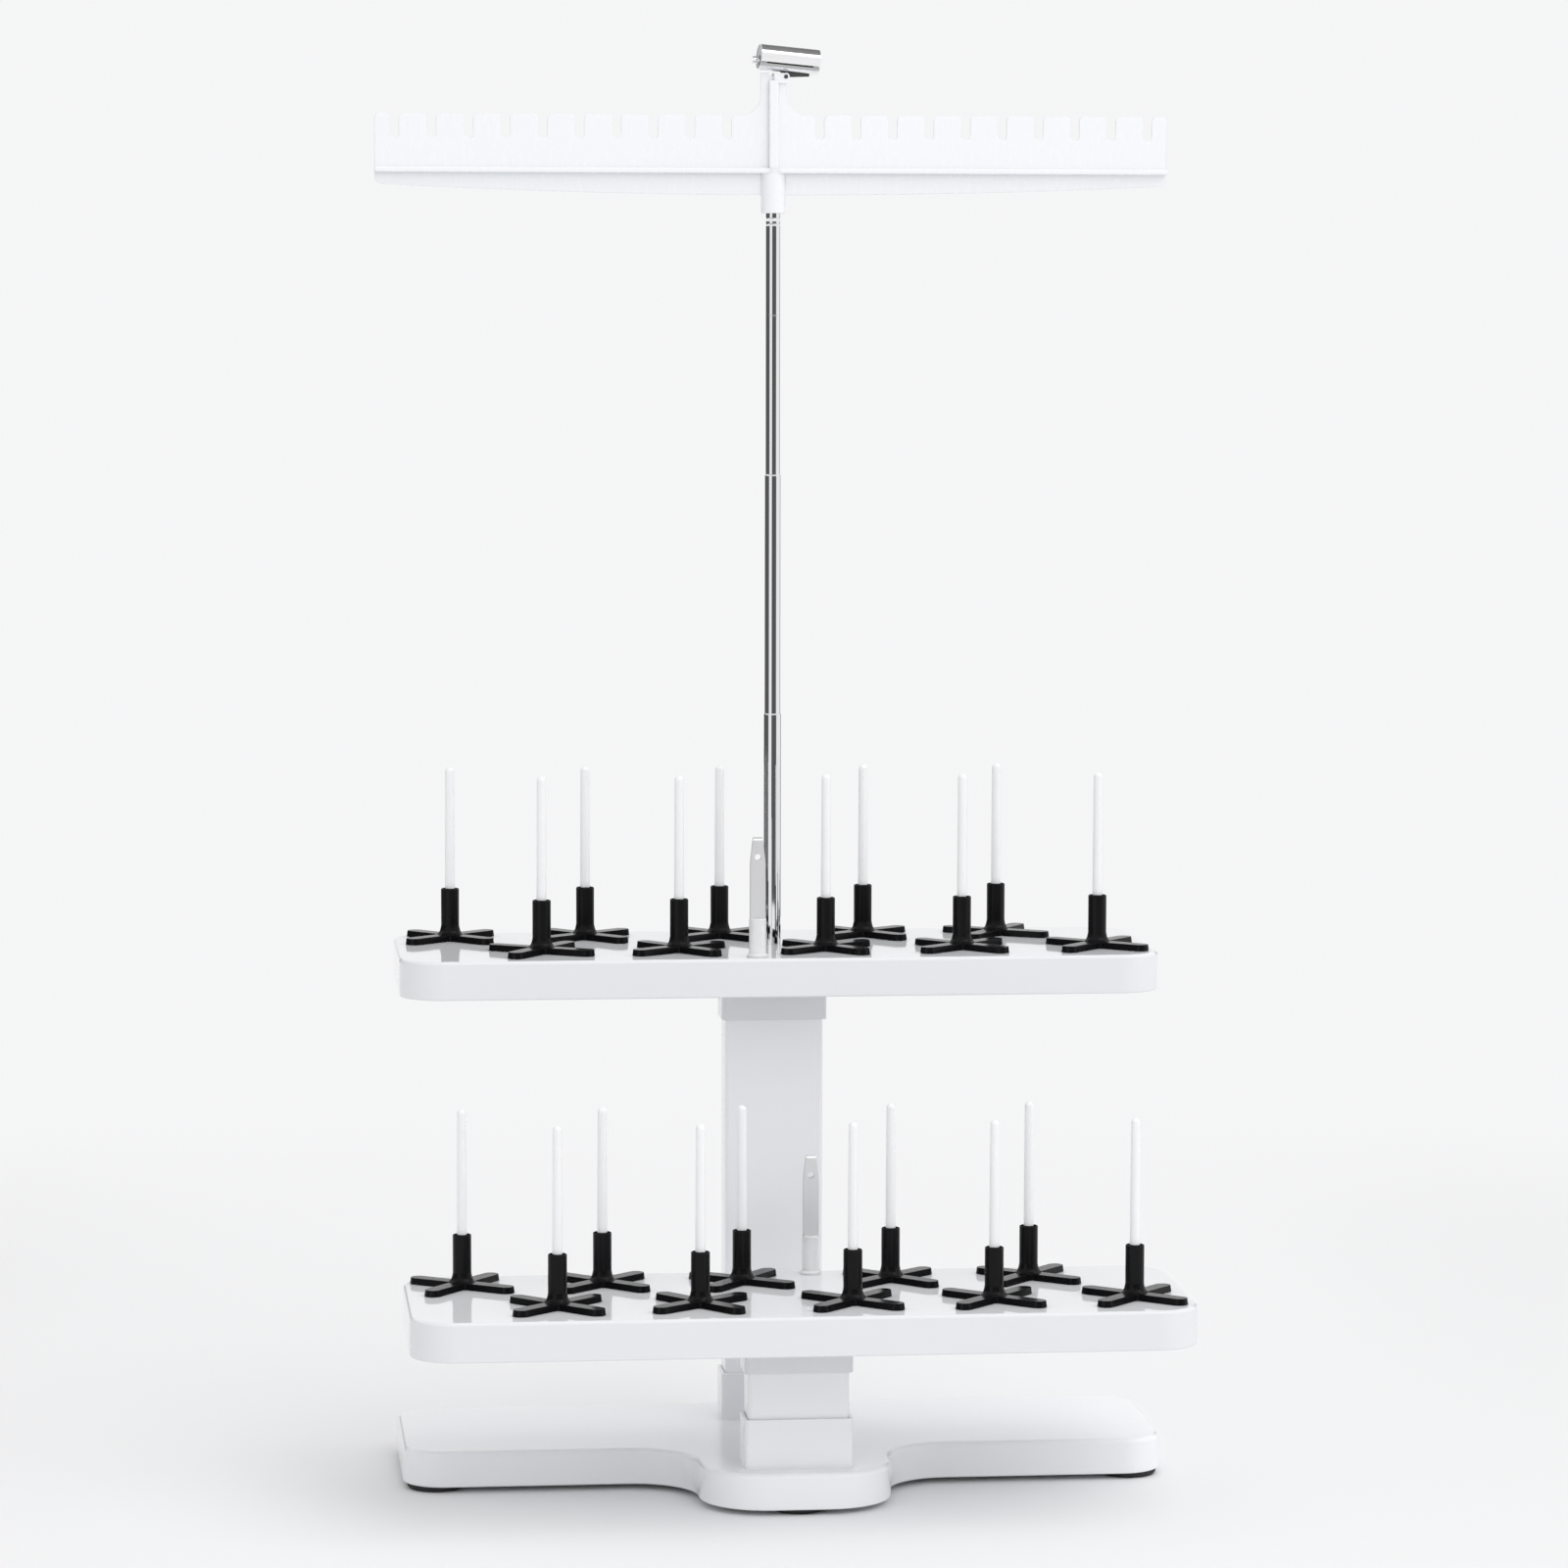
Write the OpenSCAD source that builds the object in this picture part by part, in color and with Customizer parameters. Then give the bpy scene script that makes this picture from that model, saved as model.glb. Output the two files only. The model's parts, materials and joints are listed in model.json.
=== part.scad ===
// Thread rack for twenty spools: a low base, two posts, two trays of spool pins,
// a telescopic pole and a notched bar that guides the threads down to a machine.
// Origin on the floor, midway between the two posts. X runs along the trays, the rear post is at +Y.

/* [Spool layout] */
// Distance between neighbouring pins of one row
pin_pitch = 75; // [74:0.5:85]
// Distance between the front row and the back row of a tray
row_gap = 66; // [64:0.5:80]
// Sideways shift of the front row against the back row
row_shift = 46.8; // [42:0.2:50]
// Extra space in the middle of every row
middle_gap = 5.4; // [4:0.2:12]

/* [Trays] */
// From the outermost pin to the end of its tray
tray_end_margin = 31; // [30:0.1:45]
// From a row of pins to the long edge of its tray
tray_side_margin = 37; // [34:0.5:50]
// Height of a tray
tray_h = 21; // [19:0.5:28]
// Corner radius of a tray seen from above
tray_corner_r = 24; // [16:1:30]
// Thickness of a tray's top
tray_roof = 2.4; // [1.8:0.1:3.5]
// Thickness of the side walls of the trays and the base
shell_wall = 2.2; // [1.6:0.1:3]
// Thickness of the cover under a tray
tray_cover_t = 3.2; // [2.6:0.1:4]
// Height of the collar under a tray
collar_h = 19.5; // [12:0.5:30]

/* [Spool pins] */
// Radius of a pin at its foot
pin_r = 2.7; // [2.2:0.1:3.2]
// Radius of a pin at its tip
pin_tip_r = 2.4; // [1.6:0.1:2.6]
// Height of the pin's tip above the tray
pin_h = 96.5; // [60:0.5:130]
// Length of the pin's straight foot above the tray
pin_straight_h = 32; // [30:0.5:40]
// Depth of the pin's seat in the tray
pin_seat_depth = 10; // [6:0.5:12]
// Wall around a pin's seat
pin_seat_wall = 1.8; // [1.2:0.1:3]

/* [Spool holders] */
// Reach of an arm from the pin
arm_reach = 32.5; // [24:0.5:34]
// Width of an arm
arm_w = 9.5; // [5:0.1:12]
// Thickness of an arm
arm_t = 3.3; // [2:0.1:5]
// Radius of the hub at the arms
hub_r = 7.5; // [6:0.1:9]
// Height of the flared hub above the arms
hub_flare_h = 5; // [2:0.5:8]
// Outer radius of the collar that centres a spool
holder_collar_r = 5; // [4:0.1:6]
// Height of a holder from its arms to the top of its collar
holder_h = 28.8; // [20:0.1:30]

/* [Posts] */
// Width of a post
post_w = 54; // [40:0.5:70]
// Depth of a post
post_d = 24; // [20:0.5:40]
// Wall of a post
post_wall = 2; // [1.4:0.1:3]
// Corner radius of a post
post_corner_r = 2.5; // [1:0.1:4]
// Length of the front post, from the base to the lower tray
front_post_l = 70.5; // [60:0.5:140]
// Length of the rear post, from the base to the upper tray
rear_post_l = 242.5; // [225:0.5:320]
// Distance between the centres of the two posts
post_gap = 130; // [120:1:180]
// Wall of the sockets and collars around the posts
socket_wall = 1.85; // [1.4:0.05:3]
// Height of the sockets on the base
socket_h = 26.5; // [15:0.5:40]

/* [Base] */
// Length of the base along the trays
base_l = 414; // [380:1:460]
// Height of the base shell
base_h = 19.5; // [16:0.5:30]
// Thickness of the top of the base
base_roof = 2.5; // [2:0.1:4]
// Thickness of the cover under the base
base_cover_t = 3.2; // [2.6:0.1:4]
// Corner radius of the base bar
base_corner_r = 22; // [12:1:30]
// From the rear post's centre to the back of the base
base_back_margin = 40; // [24:0.5:50]
// Depth of the base bar
base_bar_d = 124; // [100:1:126]
// From the front post's centre to the front of the base
base_front_margin = 28; // [28:0.5:50]
// Width of the front lobe
lobe_w = 103; // [90:1:140]
// Corner radius of the front lobe
lobe_corner_r = 36; // [15:1:40]
// Radius that blends the lobe into the bar
lobe_blend_r = 35; // [10:1:36]
// Height of the rubber feet
foot_h = 3; // [2:0.5:6]
// Radius of a rubber foot
foot_r = 16; // [10:0.5:17]

/* [Pole] */
// Outer radius of the lower tube
pole_r = 4.7; // [4:0.05:6]
// Wall of every tube
tube_wall = 0.35; // [0.3:0.05:0.5]
// Visible length of the lower tube
lower_tube_h = 127.7; // [110:0.1:140]
// Visible length of the middle tube
middle_tube_h = 131.3; // [120:0.1:160]
// Visible length of the upper tube
upper_tube_h = 142.2; // [125:0.1:180]
// Length of a tube's end that stays inside the next tube
tube_overlap = 20; // [15:0.5:30]
// Length of the plugs in the tubes
plug_h = 8; // [5:0.5:10]

/* [Guide bar] */
// Distance between neighbouring slots
slot_pitch = 20.1; // [18:0.1:22]
// From the pole to the first slot on each side
first_slot_x = 25.4; // [25:0.1:35]
// Width of a slot
slot_w = 5; // [4.4:0.1:7]
// Depth of a slot
slot_depth = 12.8; // [8:0.1:14]
// Radius at the bottom of a slot
slot_corner_r = 1.8; // [1:0.1:2]
// Radius of the corners of the teeth
tooth_corner_r = 2.4; // [1:0.1:3]
// Height of the toothed plate above the ledge
comb_h = 28.7; // [22:0.1:40]
// Thickness of the toothed plate
comb_t = 2.5; // [2:0.1:3]
// From the last slot's centre to the end of the bar
bar_end_margin = 10.7; // [8:0.1:20]
// Depth of the ledge in front of the plate
ledge_d = 5; // [3:0.1:8]
// Thickness of the ledge
ledge_t = 2.8; // [2:0.1:4]
// Depth of the fin below the ledge at the pole
fin_mid_h = 11.7; // [8:0.1:16]
// Depth of the fin below the ledge at the ends
fin_end_h = 6.2; // [3:0.1:7]
// Thickness of the fin
fin_t = 2; // [1.5:0.1:2.5]
// Outer radius of the socket on the pole
bar_socket_r = 6.6; // [6.2:0.1:8]
// Length of the socket below the ledge
bar_socket_h = 21.6; // [16:0.1:30]
// Depth of the pole's end in the socket
bar_socket_depth = 20; // [12:0.5:22]
// Half width of the neck above the bar
neck_half_w = 7; // [6.9:0.1:9]
// Height of the neck above the teeth
neck_h = 21.4; // [18:0.1:28]
// Radius of the curves at the foot of the neck
neck_flare_r = 11; // [5:0.5:13]
// Width of the rib on the neck
rib_w = 4.8; // [3:0.1:6]
// Depth of the rib on the neck
rib_d = 3.5; // [2:0.1:5]

/* [Guide tube] */
// Outer radius of the guide tube
guide_r = 7.1; // [6:0.1:9]
// Wall of the guide tube
guide_wall = 0.6; // [0.4:0.1:1]
// Length of the guide tube
guide_l = 33; // [26:0.5:40]
// Width of the slit along the guide tube
guide_slit = 1; // [0.5:0.1:1.5]
// Turn of the guide tube about the pole, in degrees
guide_turn = 8; // [0:1:12]
// Tilt of the guide tube, right end down, in degrees
guide_tilt = 5; // [0:1:8]
// Radius of the guide tube's hinge pin
guide_pin_r = 1.1; // [0.8:0.1:1.3]
// Distance from the hinge pin to the guide tube's skin
guide_lift = 2.4; // [2.4:0.1:3.5]

/* [Eyelet posts] */
// Height of an eyelet post above its tray
eyelet_h = 65; // [50:0.5:80]
// Height of an eyelet post's foot
eyelet_foot_h = 21; // [15:0.5:30]
// Radius of an eyelet post's foot
eyelet_foot_r = 4.7; // [4.5:0.1:6]
// Width of an eyelet post's strip
eyelet_strip_w = 8.2; // [7:0.1:8.5]
// Thickness of the strip
eyelet_strip_t = 0.8; // [0.6:0.1:1]
// Depth over both legs of the strip
eyelet_strip_d = 4.4; // [3.6:0.1:5]
// Sideways place of an eyelet post from the middle of its tray
eyelet_x = 14; // [13:0.5:16]
// From an eyelet post's centre to the long edge of its tray
eyelet_edge = 10; // [8:0.5:14]

/* [Fits] */
// Radial clearance of a holder on its pin
holder_fit = 0.08; // [0.04:0.01:0.1]
// Radial clearance between the sliding tubes and pins that turn
slide_fit = 0.05; // [0.02:0.01:0.1]
// Radial clearance of parts that are pressed together
press_fit = 0.02; // [0.01:0.01:0.04]
// Clearance of a post in its socket, on each side
post_fit = 0.15; // [0.1:0.05:0.3]
// Clearance of a cover in its shell, on each side
cover_fit = 0.2; // [0.1:0.05:0.4]
// Gap under a holder that rests on its tray
rest_gap = 0.3; // [0.2:0.05:0.3]

/* [Hidden] */
$fn = 64;
// Lap between solids that are joined
eps = 0.01;
// How far a cut runs past the face that it opens
over = 1;
pins_per_row = 5;
// Place of a pin in its row, counted from the middle one
row_mid = (pins_per_row - 1) / 2;
// Slots on each side of the pole
slots_per_side = 10;

// Turn of each holder about its pin, in degrees, from left to right, back and front in turn
upper_turns = [42, 57, 40, 37, 40, 38, 39, 42, 57, 49];
lower_turns = [54, 44, 45, 38, 54, 48, 43, 48, 50, 48];

// Heights
base_bottom_z = foot_h;
base_top_z = base_bottom_z + base_h;
lower_tray_z = base_top_z + front_post_l;
upper_tray_z = base_top_z + rear_post_l;
lower_top_z = lower_tray_z + tray_h;
upper_top_z = upper_tray_z + tray_h;

// Places of the two posts
front_y = -post_gap / 2;
rear_y = post_gap / 2;

// Outline of a tray
outer_pin_x = row_mid * pin_pitch + row_shift / 2 + middle_gap / 2;
tray_l = 2 * (outer_pin_x + tray_end_margin);
tray_w = row_gap + 2 * tray_side_margin;

// Outline of the base
base_back_y = rear_y + base_back_margin;
base_bar_front_y = base_back_y - base_bar_d;
base_bar_mid_y = (base_back_y + base_bar_front_y) / 2;
base_front_y = front_y - base_front_margin;

// Screws that close the shells and hold the posts
screw_r = 1.3;
screw_head_r = 2.75;
screw_head_h = 1.6;
screw_l = 12;
screw_boss_r = 3.3;
screw_edge = 18;
tray_mid_screw_x = 40;
post_screw_inset = 7;
post_screw_x = post_w / 2 - post_screw_inset;
post_boss_r = 3.5;
post_web_t = 2;
base_screw_end = 57;
base_screw_x = base_l / 2 - base_screw_end;
base_screw_edge = 15;
lobe_screw_edge = 13.5;
lobe_screw_x = lobe_w / 2 - lobe_screw_edge;

// Rubber feet
foot_draft = 0.8;
foot_edge = 2;
lobe_foot_edge = 3;

// Sockets around the posts
socket_w = post_w + 2 * (post_fit + socket_wall);
socket_d = post_d + 2 * (post_fit + socket_wall);
socket_corner_r = 3;

// Telescopic pole, from the inside of the upper tray to the bar
pole_foot_z = upper_tray_z + tray_cover_t;
pole_boss_wall = 2.4;
pole_boss_r = pole_r + pole_boss_wall;
lower_tube_top_z = upper_top_z + lower_tube_h;
middle_tube_top_z = lower_tube_top_z + middle_tube_h;
bar_socket_z = middle_tube_top_z + upper_tube_h;
middle_tube_r = pole_r - tube_wall - slide_fit;
upper_tube_r = middle_tube_r - tube_wall - slide_fit;
pole_screw_r = 1.8;
pole_screw_head_r = 3.5;
pole_screw_head_h = 2.5;
pole_screw_l = 9;

// Guide bar, seen from the front, all heights from the floor
ledge_z = bar_socket_z + bar_socket_h;
comb_z = ledge_z + ledge_t;
teeth_z = comb_z + comb_h;
neck_z = teeth_z + neck_h;
last_slot_x = first_slot_x + (slots_per_side - 1) * slot_pitch;
bar_half_l = last_slot_x + bar_end_margin;
fin_corner_r = 4;
fin_steps = 24;
arc_steps = 6;
rib_lap = 0.5;

// Hinge of the guide tube on top of the neck
hinge_r = 2.1;
hinge_inset = 0.7;
hinge_drop = 0.4;
hinge_x = neck_half_w - hinge_inset;
hinge_z = neck_z - hinge_drop;
hinge_axis_h = guide_lift + guide_r;
lug_t = 2.8;
lug_gap = 0.3;
ear_t = 1.9;
ear_drop = 3.5;
ear_back = 6.4;
ear_rise = 1.9;
rib_drop = 2;
ear_w = 2 * (lug_t / 2 + lug_gap + ear_t);
guide_pin_out = 0.4;
lug_reach = 13.5;
lug_tip_t = 1;
guide_offset = 1.3;
guide_bush_l = 3;
guide_bush_inset = 0.4;
guide_bush_recess_r = 3;
guide_bush_recess = 1.2;
guide_rod_r = 1.95;
guide_rod_out = 3.5;
guide_rod_drop = 2;
guide_rod_slot = 1.2;
slit_angle = -25;
neck_tab_w = 4.4;
neck_tab_h = 1.6;

// Eyelet posts
eyelet_foot_flare = 1.1;
eyelet_foot_flare_h = 1.6;
eyelet_peg_r = 2;
eyelet_peg_l = 6;
eyelet_taper_h = 14;
eyelet_tip_w = 5;
eyelet_hole_r = 1.8;
eyelet_hole_drop = 10.8;
eyelet_seat_h = 4;

// Place of pin k (0 to 9) from the middle of its tray: even ones in the back row, odd ones in front
function pin_x(k) =
    let (place = floor(k / 2), front = k % 2)
    (place - row_mid) * pin_pitch
        + (front == 1 ? 1 : -1) * row_shift / 2
        + (place + front > row_mid ? 1 : -1) * middle_gap / 2;
function pin_y(k) = (k % 2 == 1 ? -1 : 1) * row_gap / 2;

// Closing screws of a tray, from its middle
function tray_screw_places() = [
    for (sx = [-1, 1], sy = [-1, 1], x = [tray_mid_screw_x, tray_l / 2 - screw_edge])
        [sx * x, sy * (tray_w / 2 - screw_edge)]
];

// Closing screws of the base
function base_screw_places() = concat(
    [for (sx = [-1, 1], y = [base_back_y - base_screw_edge, base_bar_front_y + base_screw_edge])
        [sx * base_screw_x, y]],
    [for (sx = [-1, 1]) [sx * lobe_screw_x, front_y]]
);

// Rubber feet: one at each corner of the bar and one under the lobe
function foot_places() = concat(
    [for (sx = [-1, 1], y = [base_back_y - foot_r - foot_edge, base_bar_front_y + foot_r + foot_edge])
        [sx * (base_l / 2 - foot_r - foot_edge), y]],
    [[0, base_front_y + foot_r + lobe_foot_edge]]
);

// Flat outline of a rectangle with round corners
module rounded_outline(l, w, r) {
    square([l - 2 * r, w], center = true);
    square([l, w - 2 * r], center = true);
    for (sx = [-1, 1], sy = [-1, 1])
        translate([sx * (l / 2 - r), sy * (w / 2 - r)])
            circle(r = r);
}

module rounded_block(l, w, r, z0, z1) {
    translate([0, 0, z0])
        linear_extrude(height = z1 - z0)
            rounded_outline(l, w, r);
}

// Outline of the base, moved inwards by the given distance
module base_outline(inset) {
    lobe_back_y = base_bar_mid_y + lobe_corner_r;
    lobe_front_y = base_front_y + inset;
    translate([0, base_bar_mid_y])
        rounded_outline(base_l - 2 * inset, base_bar_d - 2 * inset, base_corner_r - inset);
    translate([0, (lobe_back_y + lobe_front_y) / 2])
        rounded_outline(lobe_w - 2 * inset, lobe_back_y - lobe_front_y, lobe_corner_r - inset);
    for (side = [-1, 1])
        base_blend_outline(inset, side);
}

// Hollow curve between the lobe and the bar
module base_blend_outline(inset, side) {
    size = lobe_blend_r + inset + over;
    mirror([side > 0 ? 0 : 1, 0])
        difference() {
            translate([lobe_w / 2 - inset - over, base_bar_front_y - lobe_blend_r])
                square([size, size]);
            translate([lobe_w / 2 + lobe_blend_r, base_bar_front_y - lobe_blend_r])
                circle(r = lobe_blend_r + inset);
        }
}

module base_block(inset, z0, z1) {
    translate([0, 0, z0])
        linear_extrude(height = z1 - z0)
            base_outline(inset);
}

// Wall of a socket or collar around a post, with its centre on the Z axis
module post_sleeve(z0, z1) {
    difference() {
        rounded_block(socket_w, socket_d, socket_corner_r, z0, z1);
        rounded_block(post_w + 2 * post_fit, post_d + 2 * post_fit, post_corner_r, z0 - over, z1 + over);
    }
}

// Screw that points up, with the underside of its head at the given height
module screw_up(head_z) {
    translate([0, 0, head_z - screw_head_h])
        cylinder(r = screw_head_r, h = screw_head_h);
    translate([0, 0, head_z - eps])
        cylinder(r = screw_r, h = screw_l - screw_head_h + eps);
}

module screw_down(head_z) {
    translate([0, 0, head_z])
        mirror([0, 0, 1])
            screw_up(0);
}

module base_shell() {
    roof_z = base_top_z - base_roof;
    cover_z = base_bottom_z + base_cover_t;
    color("white")
        difference() {
            union() {
                difference() {
                    base_block(0, base_bottom_z, base_top_z);
                    base_block(shell_wall, base_bottom_z - over, roof_z);
                }
                for (y = [front_y, rear_y])
                    translate([0, y, 0])
                        post_sleeve(base_top_z - eps, base_top_z + socket_h);
                for (p = base_screw_places())
                    translate([p[0], p[1], cover_z])
                        cylinder(r = screw_boss_r, h = roof_z - cover_z + eps);
            }
            for (p = base_screw_places())
                translate([p[0], p[1], cover_z - over])
                    cylinder(r = screw_r, h = screw_l - screw_head_h);
            for (y = [front_y, rear_y], side = [-1, 1])
                translate([side * post_screw_x, y, roof_z - over])
                    cylinder(r = screw_r + slide_fit, h = base_roof + 2 * over);
        }
}

module base_cover() {
    color("white")
        difference() {
            base_block(shell_wall + cover_fit, base_bottom_z, base_bottom_z + base_cover_t);
            for (p = base_screw_places())
                translate([p[0], p[1], base_bottom_z])
                    screw_seat();
        }
}

// Hole and head pocket of a closing screw, cut up from the face of a cover
module screw_seat() {
    translate([0, 0, -over])
        cylinder(r = screw_head_r + cover_fit, h = screw_head_h + over);
    translate([0, 0, -over])
        cylinder(r = screw_r + slide_fit, h = max(base_cover_t, tray_cover_t) + 2 * over);
}

module base_cover_screws() {
    color("silver")
        for (p = base_screw_places())
            translate([p[0], p[1], 0])
                screw_up(base_bottom_z + screw_head_h);
}

module base_feet() {
    color("black")
        for (p = foot_places())
            translate([p[0], p[1], 0])
                cylinder(r1 = foot_r - foot_draft, r2 = foot_r, h = foot_h);
}

// Hollow post with two screw channels, standing on the given height
module post(l) {
    difference() {
        union() {
            difference() {
                rounded_block(post_w, post_d, post_corner_r, 0, l);
                rounded_block(post_w - 2 * post_wall, post_d - 2 * post_wall, post_corner_r / 2, -over, l + over);
            }
            for (side = [-1, 1]) {
                translate([side * post_screw_x, 0, 0])
                    cylinder(r = post_boss_r, h = l);
                translate([side * (post_w / 2 - post_wall + eps - post_screw_inset / 2), 0, l / 2])
                    cube([post_screw_inset, post_web_t, l], center = true);
            }
        }
        for (side = [-1, 1])
            translate([side * post_screw_x, 0, -over])
                cylinder(r = screw_r, h = l + 2 * over);
    }
}

module front_post() {
    color("white")
        translate([0, front_y, base_top_z])
            post(front_post_l);
}

module rear_post() {
    color("white")
        translate([0, rear_y, base_top_z])
            post(rear_post_l);
}

module post_screws() {
    color("silver")
        for (side = [-1, 1]) {
            for (y = [front_y, rear_y])
                translate([side * post_screw_x, y, 0])
                    screw_up(base_top_z - base_roof);
            translate([side * post_screw_x, front_y, 0])
                screw_down(lower_tray_z + tray_cover_t);
            translate([side * post_screw_x, rear_y, 0])
                screw_down(upper_tray_z + tray_cover_t);
        }
}

// Moulded top of a tray, with its underside at the given height and its middle on the Z axis
module tray_shell(z0, eyelet_side) {
    roof_z = z0 + tray_h - tray_roof;
    cover_z = z0 + tray_cover_t;
    difference() {
        union() {
            difference() {
                rounded_block(tray_l, tray_w, tray_corner_r, z0, z0 + tray_h);
                rounded_block(tray_l - 2 * shell_wall, tray_w - 2 * shell_wall,
                    tray_corner_r - shell_wall, z0 - over, roof_z);
            }
            for (k = [0 : 2 * pins_per_row - 1])
                translate([pin_x(k), pin_y(k), z0 + tray_h - pin_seat_depth - pin_seat_wall])
                    cylinder(r = pin_r + pin_seat_wall, h = pin_seat_depth - tray_roof + pin_seat_wall + eps);
            for (p = tray_screw_places())
                translate([p[0], p[1], cover_z])
                    cylinder(r = screw_boss_r, h = roof_z - cover_z + eps);
        }
        for (k = [0 : 2 * pins_per_row - 1])
            translate([pin_x(k), pin_y(k), z0 + tray_h - pin_seat_depth])
                cylinder(r = pin_r + press_fit, h = pin_seat_depth + over);
        for (p = tray_screw_places())
            translate([p[0], p[1], cover_z - over])
                cylinder(r = screw_r, h = screw_l - screw_head_h);
        translate([eyelet_side * eyelet_x, eyelet_side * (tray_w / 2 - eyelet_edge), roof_z - over])
            cylinder(r = eyelet_peg_r + press_fit, h = tray_roof + 2 * over);
    }
}

module lower_tray_shell() {
    color("white")
        translate([0, front_y, 0])
            tray_shell(lower_tray_z, 1);
}

module upper_tray_shell() {
    roof_z = upper_top_z - tray_roof;
    color("white")
        translate([0, rear_y, 0])
            difference() {
                union() {
                    tray_shell(upper_tray_z, -1);
                    translate([0, 0, pole_foot_z])
                        cylinder(r = pole_boss_r, h = roof_z - pole_foot_z + eps);
                }
                translate([0, 0, pole_foot_z - over])
                    cylinder(r = pole_r + press_fit, h = tray_h + 2 * over);
            }
}

// Cover under a tray, with the collar that takes the post
module tray_cover(z0) {
    difference() {
        union() {
            rounded_block(tray_l - 2 * (shell_wall + cover_fit), tray_w - 2 * (shell_wall + cover_fit),
                tray_corner_r - shell_wall - cover_fit, z0, z0 + tray_cover_t);
            post_sleeve(z0 - collar_h, z0 + eps);
        }
        for (p = tray_screw_places())
            translate([p[0], p[1], z0])
                screw_seat();
        for (side = [-1, 1])
            translate([side * post_screw_x, 0, z0 - over])
                cylinder(r = screw_r + slide_fit, h = tray_cover_t + 2 * over);
    }
}

module lower_tray_cover() {
    color("white")
        translate([0, front_y, 0])
            tray_cover(lower_tray_z);
}

module upper_tray_cover() {
    color("white")
        translate([0, rear_y, 0])
            difference() {
                tray_cover(upper_tray_z);
                translate([0, 0, upper_tray_z - over])
                    cylinder(r = pole_screw_r + slide_fit, h = tray_cover_t + 2 * over);
            }
}

module tray_screws(z0) {
    for (p = tray_screw_places())
        translate([p[0], p[1], 0])
            screw_up(z0 + screw_head_h);
}

module lower_tray_screws() {
    color("silver")
        translate([0, front_y, 0])
            tray_screws(lower_tray_z);
}

module upper_tray_screws() {
    color("silver")
        translate([0, rear_y, 0])
            tray_screws(upper_tray_z);
}

// Pin pressed into a tray whose top is at the given height
module spool_pin(top_z) {
    tip_z = top_z + pin_h - pin_tip_r;
    translate([0, 0, top_z - pin_seat_depth])
        cylinder(r = pin_r, h = pin_seat_depth + pin_straight_h);
    translate([0, 0, top_z + pin_straight_h])
        cylinder(r1 = pin_r, r2 = pin_tip_r, h = tip_z - top_z - pin_straight_h);
    translate([0, 0, tip_z])
        sphere(r = pin_tip_r);
}

module spool_pins(top_z) {
    for (k = [0 : 2 * pins_per_row - 1])
        translate([pin_x(k), pin_y(k), 0])
            spool_pin(top_z);
}

module lower_spool_pins() {
    color("ivory")
        translate([0, front_y, 0])
            spool_pins(lower_top_z);
}

module upper_spool_pins() {
    color("ivory")
        translate([0, rear_y, 0])
            spool_pins(upper_top_z);
}

// Cross with a collar that centres a spool, resting on the XY plane
module spool_holder() {
    arm_mid = arm_reach - arm_w / 2;
    color("black")
        difference() {
            union() {
                for (turn = [0, 90])
                    rotate([0, 0, turn]) {
                        translate([-arm_mid, -arm_w / 2, 0])
                            cube([2 * arm_mid, arm_w, arm_t]);
                        for (side = [-1, 1])
                            translate([side * arm_mid, 0, 0])
                                cylinder(r = arm_w / 2, h = arm_t);
                    }
                cylinder(r = hub_r, h = arm_t);
                translate([0, 0, arm_t - eps])
                    cylinder(r1 = hub_r, r2 = holder_collar_r, h = hub_flare_h);
                cylinder(r = holder_collar_r, h = holder_h);
            }
            translate([0, 0, -over])
                cylinder(r = pin_r + holder_fit, h = holder_h + 2 * over);
        }
}

module upper_holder(k) {
    translate([pin_x(k), rear_y + pin_y(k), upper_top_z + rest_gap])
        rotate([0, 0, upper_turns[k]])
            spool_holder();
}

module lower_holder(k) {
    translate([pin_x(k), front_y + pin_y(k), lower_top_z + rest_gap])
        rotate([0, 0, lower_turns[k]])
            spool_holder();
}

// One tube of the pole, open at both ends
module pole_tube(r, z0, z1) {
    translate([0, rear_y, z0])
        difference() {
            cylinder(r = r, h = z1 - z0);
            translate([0, 0, -over])
                cylinder(r = r - tube_wall, h = z1 - z0 + 2 * over);
        }
}

// Plug pressed into the lower end of a tube
module pole_plug(r, z0) {
    translate([0, rear_y, z0])
        cylinder(r = r - tube_wall - press_fit, h = plug_h);
}

module pole_lower_tube() {
    color("silver")
        pole_tube(pole_r, pole_foot_z, lower_tube_top_z);
}

module pole_base_plug() {
    color("gray")
        difference() {
            pole_plug(pole_r, pole_foot_z);
            translate([0, rear_y, pole_foot_z - over])
                cylinder(r = pole_screw_r, h = plug_h + 2 * over);
        }
}

module pole_base_screw() {
    color("silver")
        translate([0, rear_y, upper_tray_z - pole_screw_head_h]) {
            cylinder(r = pole_screw_head_r, h = pole_screw_head_h);
            translate([0, 0, pole_screw_head_h - eps])
                cylinder(r = pole_screw_r, h = pole_screw_l);
        }
}

module pole_middle_tube() {
    color("silver")
        pole_tube(middle_tube_r, lower_tube_top_z - tube_overlap, middle_tube_top_z);
}

module pole_middle_plug() {
    color("gray")
        pole_plug(middle_tube_r, lower_tube_top_z - tube_overlap);
}

module pole_upper_tube() {
    color("silver")
        pole_tube(upper_tube_r, middle_tube_top_z - tube_overlap, bar_socket_z + bar_socket_depth);
}

module pole_upper_plug() {
    color("gray")
        pole_plug(upper_tube_r, middle_tube_top_z - tube_overlap);
}

// Points of an arc in steps of equal angle
function arc(x, z, r, from, to) = [
    for (i = [0 : arc_steps])
        let (a = from + (to - from) * i / arc_steps)
        [x + r * cos(a), z + r * sin(a)]
];

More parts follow.
